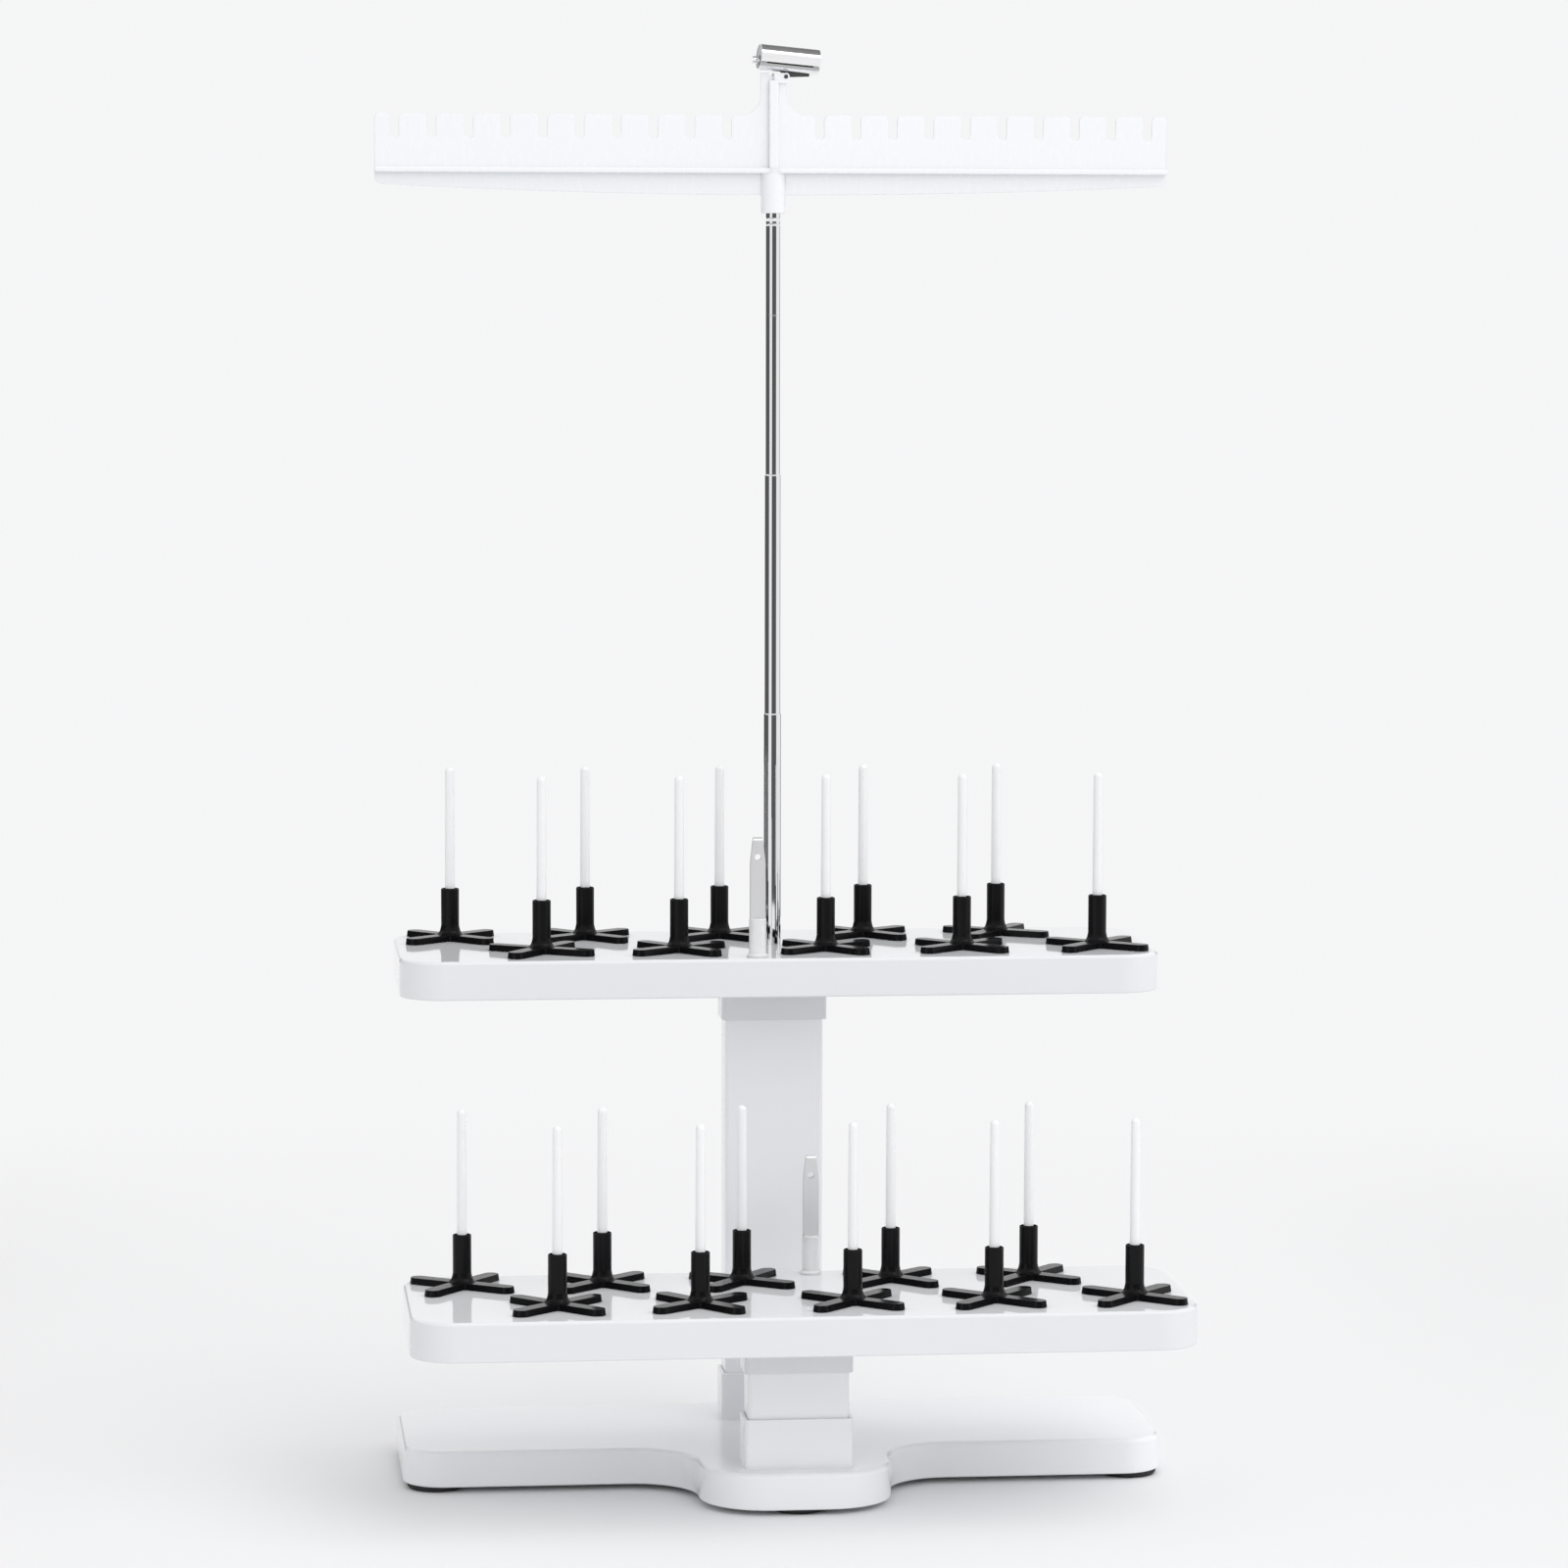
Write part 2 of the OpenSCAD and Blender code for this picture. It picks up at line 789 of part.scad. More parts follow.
// One slot, from its left tooth to its right one, with the corners of both teeth rounded
function slot_points(mid_x) =
    let (half_w = slot_w / 2, tooth_z = teeth_z - tooth_corner_r, floor_z = teeth_z - slot_depth + slot_corner_r)
    concat(
        arc(mid_x - half_w - tooth_corner_r, tooth_z, tooth_corner_r, 90, 0),
        arc(mid_x - half_w + slot_corner_r, floor_z, slot_corner_r, 180, 270),
        arc(mid_x + half_w - slot_corner_r, floor_z, slot_corner_r, 270, 360),
        arc(mid_x + half_w + tooth_corner_r, tooth_z, tooth_corner_r, 180, 90)
    );

// Right half of the toothed plate, from the hollow curve at the foot of the neck to the bar's end
function half_plate_points() = concat(
    arc(neck_half_w + neck_flare_r, teeth_z + neck_flare_r, neck_flare_r, 180, 270),
    [for (i = [0 : slots_per_side - 1]) each slot_points(first_slot_x + i * slot_pitch)],
    arc(bar_half_l - tooth_corner_r, teeth_z - tooth_corner_r, tooth_corner_r, 90, 0),
    [[bar_half_l, comb_z - eps]]
);

// Points of the other side, in the opposite order
function mirrored(points) = [for (i = [len(points) - 1 : -1 : 0]) [-points[i][0], points[i][1]]];

// Toothed plate and neck in X and height, with a tab for the guide tube at the neck's left end
module plate_outline() {
    right = half_plate_points();
    polygon(concat(
        [[neck_half_w, neck_z]],
        right,
        mirrored(right),
        [
            [-neck_half_w, neck_z + neck_tab_h],
            [neck_tab_w - neck_half_w, neck_z + neck_tab_h],
            [neck_tab_w - neck_half_w, neck_z]
        ]
    ));
}

// Lower edge of the fin, deepest at the pole
function fin_drop(x) = fin_end_h + (fin_mid_h - fin_end_h) * (1 - pow(x / bar_half_l, 2));

module fin_outline() {
    edge_x = bar_half_l - fin_corner_r;
    edge_z = ledge_z - fin_drop(edge_x) + fin_corner_r;
    polygon(concat(
        [[bar_half_l, ledge_z + eps], [-bar_half_l, ledge_z + eps]],
        arc(-edge_x, edge_z, fin_corner_r, 180, 270),
        [for (i = [1 : fin_steps - 1])
            let (x = edge_x * (2 * i / fin_steps - 1))
            [x, ledge_z - fin_drop(x)]],
        arc(edge_x, edge_z, fin_corner_r, 270, 360)
    ));
}

// Extrudes an outline given in X and height into a plate from y0 to y1
module upright_plate(y0, y1) {
    translate([0, y1, 0])
        rotate([90, 0, 0])
            linear_extrude(height = y1 - y0)
                children();
}

// Frame in which the guide tube's hinge axis is the Y axis through the origin
module at_guide_hinge() {
    translate([0, rear_y, 0])
        rotate([0, 0, guide_turn])
            translate([hinge_x, 0, hinge_z])
                children();
}

// Short cylinder along Y, centred on the origin
module cross_cylinder(r, l) {
    rotate([90, 0, 0])
        cylinder(r = r, h = l, center = true);
}

module guide_bar() {
    half_t = comb_t / 2;
    color("white")
        difference() {
            union() {
                translate([0, rear_y, 0]) {
                    upright_plate(-half_t, half_t)
                        plate_outline();
                    upright_plate(-fin_t / 2, fin_t / 2)
                        fin_outline();
                    translate([-bar_half_l, -half_t - ledge_d, ledge_z])
                        cube([2 * bar_half_l, ledge_d + comb_t, ledge_t]);
                    translate([-rib_w / 2, -half_t - rib_d, comb_z - eps])
                        cube([rib_w, rib_d + rib_lap, hinge_z - rib_drop - comb_z]);
                    translate([0, 0, bar_socket_z])
                        cylinder(r = bar_socket_r, h = bar_socket_h + ledge_t);
                }
                guide_ears();
            }
            translate([0, rear_y, bar_socket_z - over])
                cylinder(r = upper_tube_r + slide_fit, h = bar_socket_depth + over + slide_fit);
            at_guide_hinge() {
                guide_lug_space();
                cross_cylinder(guide_pin_r + press_fit, 2 * ear_w);
            }
        }
}

// Two ears at the top of the neck, which hold the guide tube's hinge pin
module guide_ears() {
    at_guide_hinge() {
        cross_cylinder(hinge_r, ear_w);
        translate([-ear_back, -ear_w / 2, -ear_drop])
            cube([ear_back + hinge_r, ear_w, ear_drop]);
        translate([-ear_back, -ear_w / 2, -ear_drop])
            cube([ear_back, ear_w, ear_drop + ear_rise]);
    }
}

// Room for the lug between the ears
module guide_lug_space() {
    space_w = lug_t + 2 * lug_gap;
    cross_cylinder(hinge_r + lug_gap, space_w);
    translate([-hinge_r - 2 * lug_gap, -space_w / 2, -lug_gap])
        cube([2 * lug_reach, space_w, neck_h]);
    rotate([0, 45, 0])
        translate([0, -space_w / 2, 0])
            cube([2 * lug_reach, space_w, neck_h]);
}

module guide_hinge_pin() {
    color("dimgray")
        at_guide_hinge()
            cross_cylinder(guide_pin_r, ear_w + 2 * guide_pin_out);
}

// Frame of the guide tube: its axis is the X axis, tilted as it rests
module at_guide_tube() {
    at_guide_hinge()
        rotate([0, guide_tilt, 0])
            translate([guide_offset, 0, hinge_axis_h])
                children();
}

// Round bar along X with its middle at the origin
module long_cylinder(r, l) {
    rotate([0, 90, 0])
        cylinder(r = r, h = l, center = true);
}

// Lug under the guide tube, from the hinge to its thin tip
module saddle_outline() {
    polygon([
        [-hinge_r, 0],
        [hinge_r, 0],
        [lug_reach, guide_lift - lug_tip_t],
        [lug_reach, guide_lift + over],
        [-hinge_r, guide_lift + over]
    ]);
}

module guide_saddle() {
    color("dimgray")
        difference() {
            at_guide_hinge()
                rotate([0, guide_tilt, 0])
                    union() {
                        cross_cylinder(hinge_r, lug_t);
                        upright_plate(-lug_t / 2, lug_t / 2)
                            saddle_outline();
                    }
            at_guide_tube()
                long_cylinder(guide_r, 2 * guide_l);
            at_guide_hinge()
                cross_cylinder(guide_pin_r + slide_fit, 2 * lug_t);
        }
}

module guide_tube() {
    color("silver")
        at_guide_tube()
            difference() {
                long_cylinder(guide_r, guide_l);
                long_cylinder(guide_r - guide_wall, guide_l + 2 * over);
                rotate([-slit_angle, 0, 0])
                    translate([-guide_l, -2 * guide_r, -guide_slit / 2])
                        cube([2 * guide_l, 2 * guide_r, guide_slit]);
            }
}

module guide_tube_bushes() {
    bush_out = guide_l / 2 - guide_bush_inset;
    color("gainsboro")
        at_guide_tube()
            for (side = [-1, 1])
                difference() {
                    translate([side * (bush_out - guide_bush_l / 2), 0, 0])
                        long_cylinder(guide_r - guide_wall - press_fit, guide_bush_l);
                    translate([0, 0, -guide_rod_drop]) {
                        long_cylinder(guide_rod_r + press_fit, 2 * guide_l);
                        translate([side * bush_out, 0, 0])
                            long_cylinder(guide_bush_recess_r, 2 * guide_bush_recess);
                    }
                }
}

module guide_tube_rod() {
    rod_l = guide_l + guide_rod_out;
    color("silver")
        at_guide_tube()
            translate([-guide_rod_out / 2, 0, -guide_rod_drop])
                difference() {
                    long_cylinder(guide_rod_r, rod_l);
                    translate([-rod_l / 2 - over, -guide_rod_r - over, -guide_rod_slot / 2])
                        cube([guide_rod_out + over, 2 * (guide_rod_r + over), guide_rod_slot]);
                }
}

// Folded metal strip with an eye near its top, standing in a plastic foot on the XY plane
module eyelet_strip() {
    seat_z = eyelet_foot_h - eyelet_seat_h;
    shoulder_z = eyelet_h - eyelet_taper_h;
    half_d = eyelet_strip_d / 2;
    color("silver")
        difference() {
            upright_plate(-half_d, half_d)
                polygon([
                    [-eyelet_strip_w / 2, seat_z],
                    [eyelet_strip_w / 2, seat_z],
                    [eyelet_strip_w / 2, shoulder_z],
                    [eyelet_tip_w / 2, eyelet_h],
                    [-eyelet_tip_w / 2, eyelet_h],
                    [-eyelet_strip_w / 2, shoulder_z]
                ]);
            translate([-eyelet_strip_w, eyelet_strip_t - half_d, seat_z - over])
                cube([2 * eyelet_strip_w, eyelet_strip_d - 2 * eyelet_strip_t,
                    eyelet_h - seat_z + over - eyelet_strip_t]);
            translate([0, 0, eyelet_h - eyelet_hole_drop])
                cross_cylinder(eyelet_hole_r, 2 * eyelet_strip_d);
        }
}

module eyelet_foot() {
    seat_z = eyelet_foot_h - eyelet_seat_h;
    color("gainsboro")
        difference() {
            union() {
                cylinder(r = eyelet_foot_r + eyelet_foot_flare, h = eyelet_foot_flare_h);
                cylinder(r = eyelet_foot_r, h = eyelet_foot_h);
                translate([0, 0, -eyelet_peg_l])
                    cylinder(r = eyelet_peg_r, h = eyelet_peg_l + eps);
            }
            translate([-eyelet_strip_w / 2 - press_fit, -eyelet_strip_d / 2 - press_fit, seat_z])
                cube([eyelet_strip_w + 2 * press_fit, eyelet_strip_d + 2 * press_fit, eyelet_seat_h + over]);
        }
}

module at_upper_eyelet() {
    translate([-eyelet_x, rear_y - tray_w / 2 + eyelet_edge, upper_top_z])
        children();
}

module at_lower_eyelet() {
    translate([eyelet_x, front_y + tray_w / 2 - eyelet_edge, lower_top_z])
        children();
}

base_shell();
base_cover();
base_cover_screws();
base_feet();
front_post();
rear_post();
post_screws();
lower_tray_shell();
lower_tray_cover();
lower_tray_screws();
upper_tray_shell();
upper_tray_cover();
upper_tray_screws();
lower_spool_pins();
upper_spool_pins();
pole_lower_tube();
pole_base_plug();
pole_base_screw();
pole_middle_tube();
pole_middle_plug();
pole_upper_tube();
pole_upper_plug();
guide_bar();
guide_hinge_pin();
guide_saddle();
guide_tube();
guide_tube_bushes();
guide_tube_rod();
at_upper_eyelet() eyelet_strip();  // upper_eyelet_strip
at_upper_eyelet() eyelet_foot();  // upper_eyelet_foot
at_lower_eyelet() eyelet_strip();  // lower_eyelet_strip
at_lower_eyelet() eyelet_foot();  // lower_eyelet_foot
upper_holder(0);  // upper_holder_back_1
upper_holder(1);  // upper_holder_front_1
upper_holder(2);  // upper_holder_back_2
upper_holder(3);  // upper_holder_front_2
upper_holder(4);  // upper_holder_back_3
upper_holder(5);  // upper_holder_front_3
upper_holder(6);  // upper_holder_back_4
upper_holder(7);  // upper_holder_front_4
upper_holder(8);  // upper_holder_back_5
upper_holder(9);  // upper_holder_front_5
lower_holder(0);  // lower_holder_back_1
lower_holder(1);  // lower_holder_front_1
lower_holder(2);  // lower_holder_back_2
lower_holder(3);  // lower_holder_front_2
lower_holder(4);  // lower_holder_back_3
lower_holder(5);  // lower_holder_front_3
lower_holder(6);  // lower_holder_back_4
lower_holder(7);  // lower_holder_front_4
lower_holder(8);  // lower_holder_back_5
lower_holder(9);  // lower_holder_front_5
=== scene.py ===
"""Looks of the thread rack: moulded shells, spool holders, pole, guide bar and a plain studio."""
import json
import logging
import math
from collections.abc import Callable, Mapping, Sequence
from dataclasses import dataclass, field
from enum import Enum

import bmesh
import bpy
from mathutils import Euler, Matrix, Vector


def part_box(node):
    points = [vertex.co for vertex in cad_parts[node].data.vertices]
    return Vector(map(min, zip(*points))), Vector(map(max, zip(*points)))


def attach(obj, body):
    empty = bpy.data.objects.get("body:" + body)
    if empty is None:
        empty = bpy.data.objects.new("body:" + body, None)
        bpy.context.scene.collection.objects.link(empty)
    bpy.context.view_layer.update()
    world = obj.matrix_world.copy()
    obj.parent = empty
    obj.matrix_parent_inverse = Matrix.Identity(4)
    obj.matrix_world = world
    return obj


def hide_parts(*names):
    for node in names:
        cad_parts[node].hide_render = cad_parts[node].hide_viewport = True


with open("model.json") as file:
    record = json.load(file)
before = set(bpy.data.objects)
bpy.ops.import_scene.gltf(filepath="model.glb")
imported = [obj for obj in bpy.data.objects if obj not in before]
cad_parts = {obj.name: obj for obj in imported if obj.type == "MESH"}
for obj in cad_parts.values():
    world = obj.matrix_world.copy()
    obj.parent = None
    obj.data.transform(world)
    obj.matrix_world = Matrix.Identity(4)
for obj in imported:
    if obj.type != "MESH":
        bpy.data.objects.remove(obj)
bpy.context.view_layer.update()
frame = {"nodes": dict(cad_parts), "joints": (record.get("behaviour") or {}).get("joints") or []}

log = logging.getLogger("thread_rack")

# Shapes are modelled in millimetres and scaled to metres when a piece is finished
MM = 0.001
# Points this close are merged, heights this close are level, and an edge this close to a place stands at it
TINY = 1e-4
FLAT = 0.001
NEAR = 0.01
# How far a cutter stands out of what it cuts, and a joined solid reaches into its neighbour
OVER = 1
# Segments across a thin round edge
THIN = 2
# An upright edge rises at least this many times as far as it leans
STRAIGHT = 100
SHARP_ANGLE = math.radians(32)
UP = Vector((0, 0, 1))
# A face whose normal's height is less than the first is a wall, and more than the second a level face
STEEP = 0.5
LEVEL = 0.9

Point = tuple[float, float]
Triple = tuple[float, float, float]
Colour = Triple
Span = tuple[float, float]
EdgeTest = Callable[[bmesh.types.BMEdge], bool]


class Level(Enum):
    """The two trays and what stands on them."""

    LOWER = "lower"
    UPPER = "upper"


class Row(Enum):
    """The two rows of pins on a tray."""

    BACK = "back"
    FRONT = "front"


def node_box(node: str) -> tuple[Vector, Vector]:
    """Find the corners of a node of the frame.

    Args:
        node: The node's name.

    Returns:
        The lowest and highest corner in millimetres.
    """
    low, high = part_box(node)
    return low / MM, high / MM


def islands(node: str) -> list[tuple[Vector, Vector]]:
    """Find the separate solids of a node.

    Args:
        node: The node's name.

    Returns:
        The lowest and highest corner of each solid in millimetres, from left to right and front to back.
    """
    bm = bmesh.new()
    bm.from_mesh(frame["nodes"][node].data)
    bmesh.ops.remove_doubles(bm, verts=bm.verts, dist=TINY * MM)
    left = set(bm.verts)
    boxes = []
    while left:
        stack = [left.pop()]
        found = list(stack)
        while stack:
            for edge in stack.pop().link_edges:
                for vertex in edge.verts:
                    if vertex in left:
                        left.remove(vertex)
                        stack.append(vertex)
                        found.append(vertex)
        points = [vertex.co / MM for vertex in found]
        boxes.append((Vector(map(min, zip(*points))), Vector(map(max, zip(*points)))))
    bm.free()
    return sorted(boxes, key=lambda box: (round(box[0].x, 2), round(box[0].y, 2)))


def to_mesh(bm: bmesh.types.BMesh, name: str) -> bpy.types.Mesh:
    """Turn a mesh in the making into a finished one.

    Args:
        bm: The mesh in the making, which is used up.
        name: The finished mesh's name.

    Returns:
        The finished mesh.
    """
    mesh = bpy.data.meshes.new(name)
    bm.to_mesh(mesh)
    bm.free()
    return mesh


def show(name: str, data: bpy.types.ID) -> bpy.types.Object:
    """Put an object into the scene.

    Args:
        name: Its name.
        data: Its mesh, light or camera.

    Returns:
        The object.
    """
    shown = bpy.data.objects.new(name, data)
    bpy.context.collection.objects.link(shown)
    return shown


def level_of(vertices: Sequence[bmesh.types.BMVert], height: float) -> bool:
    """Tell whether all vertices lie at a height."""
    return all(abs(v.co.z - height) < FLAT for v in vertices)


def vertices_in(geometry: Sequence[object]) -> list[bmesh.types.BMVert]:
    """Pick the vertices out of what an operator gives back."""
    return [item for item in geometry if isinstance(item, bmesh.types.BMVert)]


def faces_in(geometry: Sequence[object]) -> list[bmesh.types.BMFace]:
    """Pick the faces out of what an operator gives back."""
    return [item for item in geometry if isinstance(item, bmesh.types.BMFace)]


def raise_faces(bm: bmesh.types.BMesh, faces: Sequence[bmesh.types.BMFace], height: float) -> list[bmesh.types.BMFace]:
    """Extrude faces straight up, or down where the height is negative.

    Args:
        bm: The mesh.
        faces: The faces.
        height: How far they move.

    Returns:
        The raised faces.
    """
    raised = bmesh.ops.extrude_face_region(bm, geom=faces)["geom"]
    bmesh.ops.translate(bm, verts=vertices_in(raised), vec=UP * height)
    return faces_in(raised)


class Shape:
    """A mesh in the making, in millimetres, in the frame of the whole rack."""

    def __init__(self, bm: bmesh.types.BMesh | None = None) -> None:
        """Start from a mesh, or from nothing."""
        self.bm = bm or bmesh.new()

    @classmethod
    def block(cls, low: Sequence[float], high: Sequence[float]) -> "Shape":
        """Make a square block.

        Args:
            low: Its lowest corner.
            high: Its highest corner.

        Returns:
            The block.
        """
        shape = cls()
        size = Vector(high) - Vector(low)
        middle = (Vector(high) + Vector(low)) / 2
        bmesh.ops.create_cube(shape.bm, size=1, matrix=Matrix.LocRotScale(middle, None, size))
        return shape

    @classmethod
    def rounded_block(cls, low: Sequence[float], high: Sequence[float], radius: float, steps: int = 8) -> "Shape":
        """Make a block whose upright edges are round.

        Args:
            low: Its lowest corner.
            high: Its highest corner.
            radius: Radius of the upright edges.
            steps: Segments of each round edge.

        Returns:
            The block.
        """
        shape = cls.block(low, high)
        shape.soften(shape.upright, radius, steps)
        return shape

    @classmethod
    def lathe(cls, profile: Sequence[Point], centre: Sequence[float] = (0, 0, 0), steps: int = 48) -> "Shape":
        """Turn a profile about an upright axis.

        Args:
            profile: Radius and height of each point. A profile that ends off the axis is closed to a ring.
            centre: Where radius 0 and height 0 are.
            steps: Faces round the axis.

        Returns:
            The turned shape.
        """
        shape = cls()
        bm = shape.bm
        points = [bm.verts.new((radius, 0, height)) for radius, height in profile]
        edges = [bm.edges.new(pair) for pair in zip(points, points[1:])]
        if profile[0][0] > TINY and profile[-1][0] > TINY:
            edges.append(bm.edges.new((points[-1], points[0])))
        bmesh.ops.spin(bm, geom=points + edges, cent=(0, 0, 0), axis=UP, angle=math.tau, steps=steps, use_merge=True)
        bmesh.ops.remove_doubles(bm, verts=bm.verts, dist=TINY)
        bmesh.ops.recalc_face_normals(bm, faces=bm.faces)
        return shape.move(centre)

    @classmethod
    def slab(cls, outline: Sequence[Point], low: float, high: float) -> "Shape":
        """Extrude a flat outline upwards.

        Args:
            outline: X and Y of its corners, in order.
            low: Height of its underside.
            high: Height of its top.

        Returns:
            The slab.
        """
        shape = cls()
        bm = shape.bm
        raise_faces(bm, [bm.faces.new([bm.verts.new((x, y, low)) for x, y in outline])], high - low)
        bmesh.ops.recalc_face_normals(bm, faces=bm.faces)
        return shape

    @staticmethod
    def upright(edge: bmesh.types.BMEdge) -> bool:
        """Tell whether an edge is upright."""
        along = edge.verts[1].co - edge.verts[0].co
        return abs(along.z) > max(abs(along.x), abs(along.y)) * STRAIGHT

    @staticmethod
    def rim(height: float) -> EdgeTest:
        """Choose the edges between a flat face at a height and the walls that meet it.

        Args:
            height: Height of the flat face.

        Returns:
            What tells whether an edge is one of them.
        """

        def chosen(edge: bmesh.types.BMEdge) -> bool:
            """Tell whether an edge lies at the height, between a level face and a wall.

            Args:
                edge: The edge.

            Returns:
                Whether it does.
            """
            if not level_of(edge.verts, height) or len(edge.link_faces) != 2:
                return False
            steep, level = sorted(abs(face.normal.z) for face in edge.link_faces)
            return steep < STEEP and level > LEVEL

        return chosen

    def copy(self) -> "Shape":
        """Make a second shape like this one."""
        return Shape(self.bm.copy())

    def move(self, offset: Sequence[float]) -> "Shape":
        """Shift the shape and give it back."""
        bmesh.ops.translate(self.bm, verts=self.bm.verts, vec=Vector(offset))
        return self

    def turn(self, matrix: Matrix) -> "Shape":
        """Turn the shape by a matrix and give it back."""
        bmesh.ops.transform(self.bm, matrix=matrix, verts=self.bm.verts)
        return self

    def rotate(self, axis: str, degrees: float) -> "Shape":
        """Turn the shape about an axis through the origin and give it back."""
        return self.turn(Matrix.Rotation(math.radians(degrees), 4, axis))

    def add(self, *others: "Shape") -> "Shape":
        """Join other shapes into this one, which uses them up.

        Args:
            *others: The other shapes.

        Returns:
            The shape itself.
        """
        for other in others:
            mesh = to_mesh(other.bm, "joined")
            self.bm.from_mesh(mesh)
            bpy.data.meshes.remove(mesh)
        return self

    def soften(self, chosen: EdgeTest, radius: float, steps: int = 3) -> "Shape":
        """Round the chosen edges.

        Args:
            chosen: Tells which edges to round.
            radius: Radius of the round.
            steps: Segments across it.

        Returns:
            The shape itself.
        """
        self.bm.normal_update()
        edges = [edge for edge in self.bm.edges if chosen(edge)]
        bmesh.ops.bevel(self.bm, geom=edges, offset=radius, offset_type="OFFSET", affect="EDGES",
                        segments=steps, profile=0.5, material=-1, clamp_overlap=True)
        return self

    def soften_at(self, points: Sequence[Point], radius: float, steps: int = 6) -> "Shape":
        """Round the upright edges that stand at the given points.

        Args:
            points: X and Y of the edges.
            radius: Radius of the round.
            steps: Segments across it.

        Returns:
            The shape itself.
        """
        wanted = [Vector(point) for point in points]

        def chosen(edge: bmesh.types.BMEdge) -> bool:
            """Tell whether an upright edge stands at one of the points."""
            return self.upright(edge) and any((edge.verts[0].co.xy - point).length < NEAR for point in wanted)

        return self.soften(chosen, radius, steps)

    def level_faces(self, height: float) -> list[bmesh.types.BMFace]:
        """List the faces that lie flat at a height, largest first."""
        faces = [face for face in self.bm.faces if level_of(face.verts, height)]
        return sorted(faces, key=lambda face: -face.calc_area())

    def step(self, face: bmesh.types.BMFace, inset: float, depth: float) -> bmesh.types.BMFace:
        """Inset a level face and sink it.

        Args:
            face: The face.
            inset: Distance from its outline.
            depth: How far the inner face moves up, or down where negative.

        Returns:
            The inner face.
        """
        bmesh.ops.inset_region(self.bm, faces=[face], thickness=inset, use_even_offset=True)
        inner = raise_faces(self.bm, [face], depth)[0]
        if face.is_valid:
            bmesh.ops.delete(self.bm, geom=[face], context="FACES_ONLY")
        return inner

    def bore(self, low: float, high: float, wall: float) -> "Shape":
        """Open a block right through, from its underside to its top, leaving a wall.

        Args:
            low: Height of its underside.
            high: Height of its top.
            wall: Thickness of the wall.

        Returns:
            The shape itself.
        """
        bm = self.bm
        caps = [self.level_faces(low)[0], self.level_faces(high)[0]]
        rims: list[bmesh.types.BMEdge] = []
        for cap in caps:
            bmesh.ops.inset_region(bm, faces=[cap], thickness=wall, use_even_offset=True)
            rims += cap.edges
        bmesh.ops.delete(bm, geom=caps, context="FACES_ONLY")
        bmesh.ops.bridge_loops(bm, edges=rims)
        bmesh.ops.recalc_face_normals(bm, faces=bm.faces)
        return self

    def finish(self, name: str, body: str, finish: "Finish", nodes: Sequence[str] = ()) -> bpy.types.Object:
        """Turn the shape into a piece of the rack.

        Args:
            name: The piece's name.
            body: The body that it rides on.
            finish: Its material.
            nodes: The nodes that it stands for.

        Returns:
            The piece.
        """
        bmesh.ops.scale(self.bm, verts=self.bm.verts, vec=(MM, MM, MM))
        mesh = to_mesh(self.bm, name)
        mesh.shade_smooth()
        mesh.set_sharp_from_angle(angle=SHARP_ANGLE)
        mesh.materials.append(finish.material())
        piece = show(name, mesh)
        weighted = piece.modifiers.new("Even shading", "WEIGHTED_NORMAL")
        weighted.keep_sharp = True
        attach(piece, body)
        if nodes:
            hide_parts(*nodes)
        log.info("%s: %d faces", name, len(mesh.polygons))
        return piece


def cut(shape: Shape, tool: Shape) -> Shape:
    """Take one closed shape away from another.

    Args:
        shape: The shape that is cut.
        tool: What is taken away.

    Returns:
        The cut shape. Both others are used up.
    """
    pair = [show("cut", to_mesh(part.bm, "cut")) for part in (shape, tool)]
    modifier = pair[0].modifiers.new("Cut", "BOOLEAN")
    modifier.operation = "DIFFERENCE"
    modifier.solver = "EXACT"
    modifier.object = pair[1]
    graph = bpy.context.evaluated_depsgraph_get()
    made = Shape()
    made.bm.from_object(pair[0], graph)
    for part in pair:
        mesh = part.data
        bpy.data.objects.remove(part)
        bpy.data.meshes.remove(mesh)
    return made


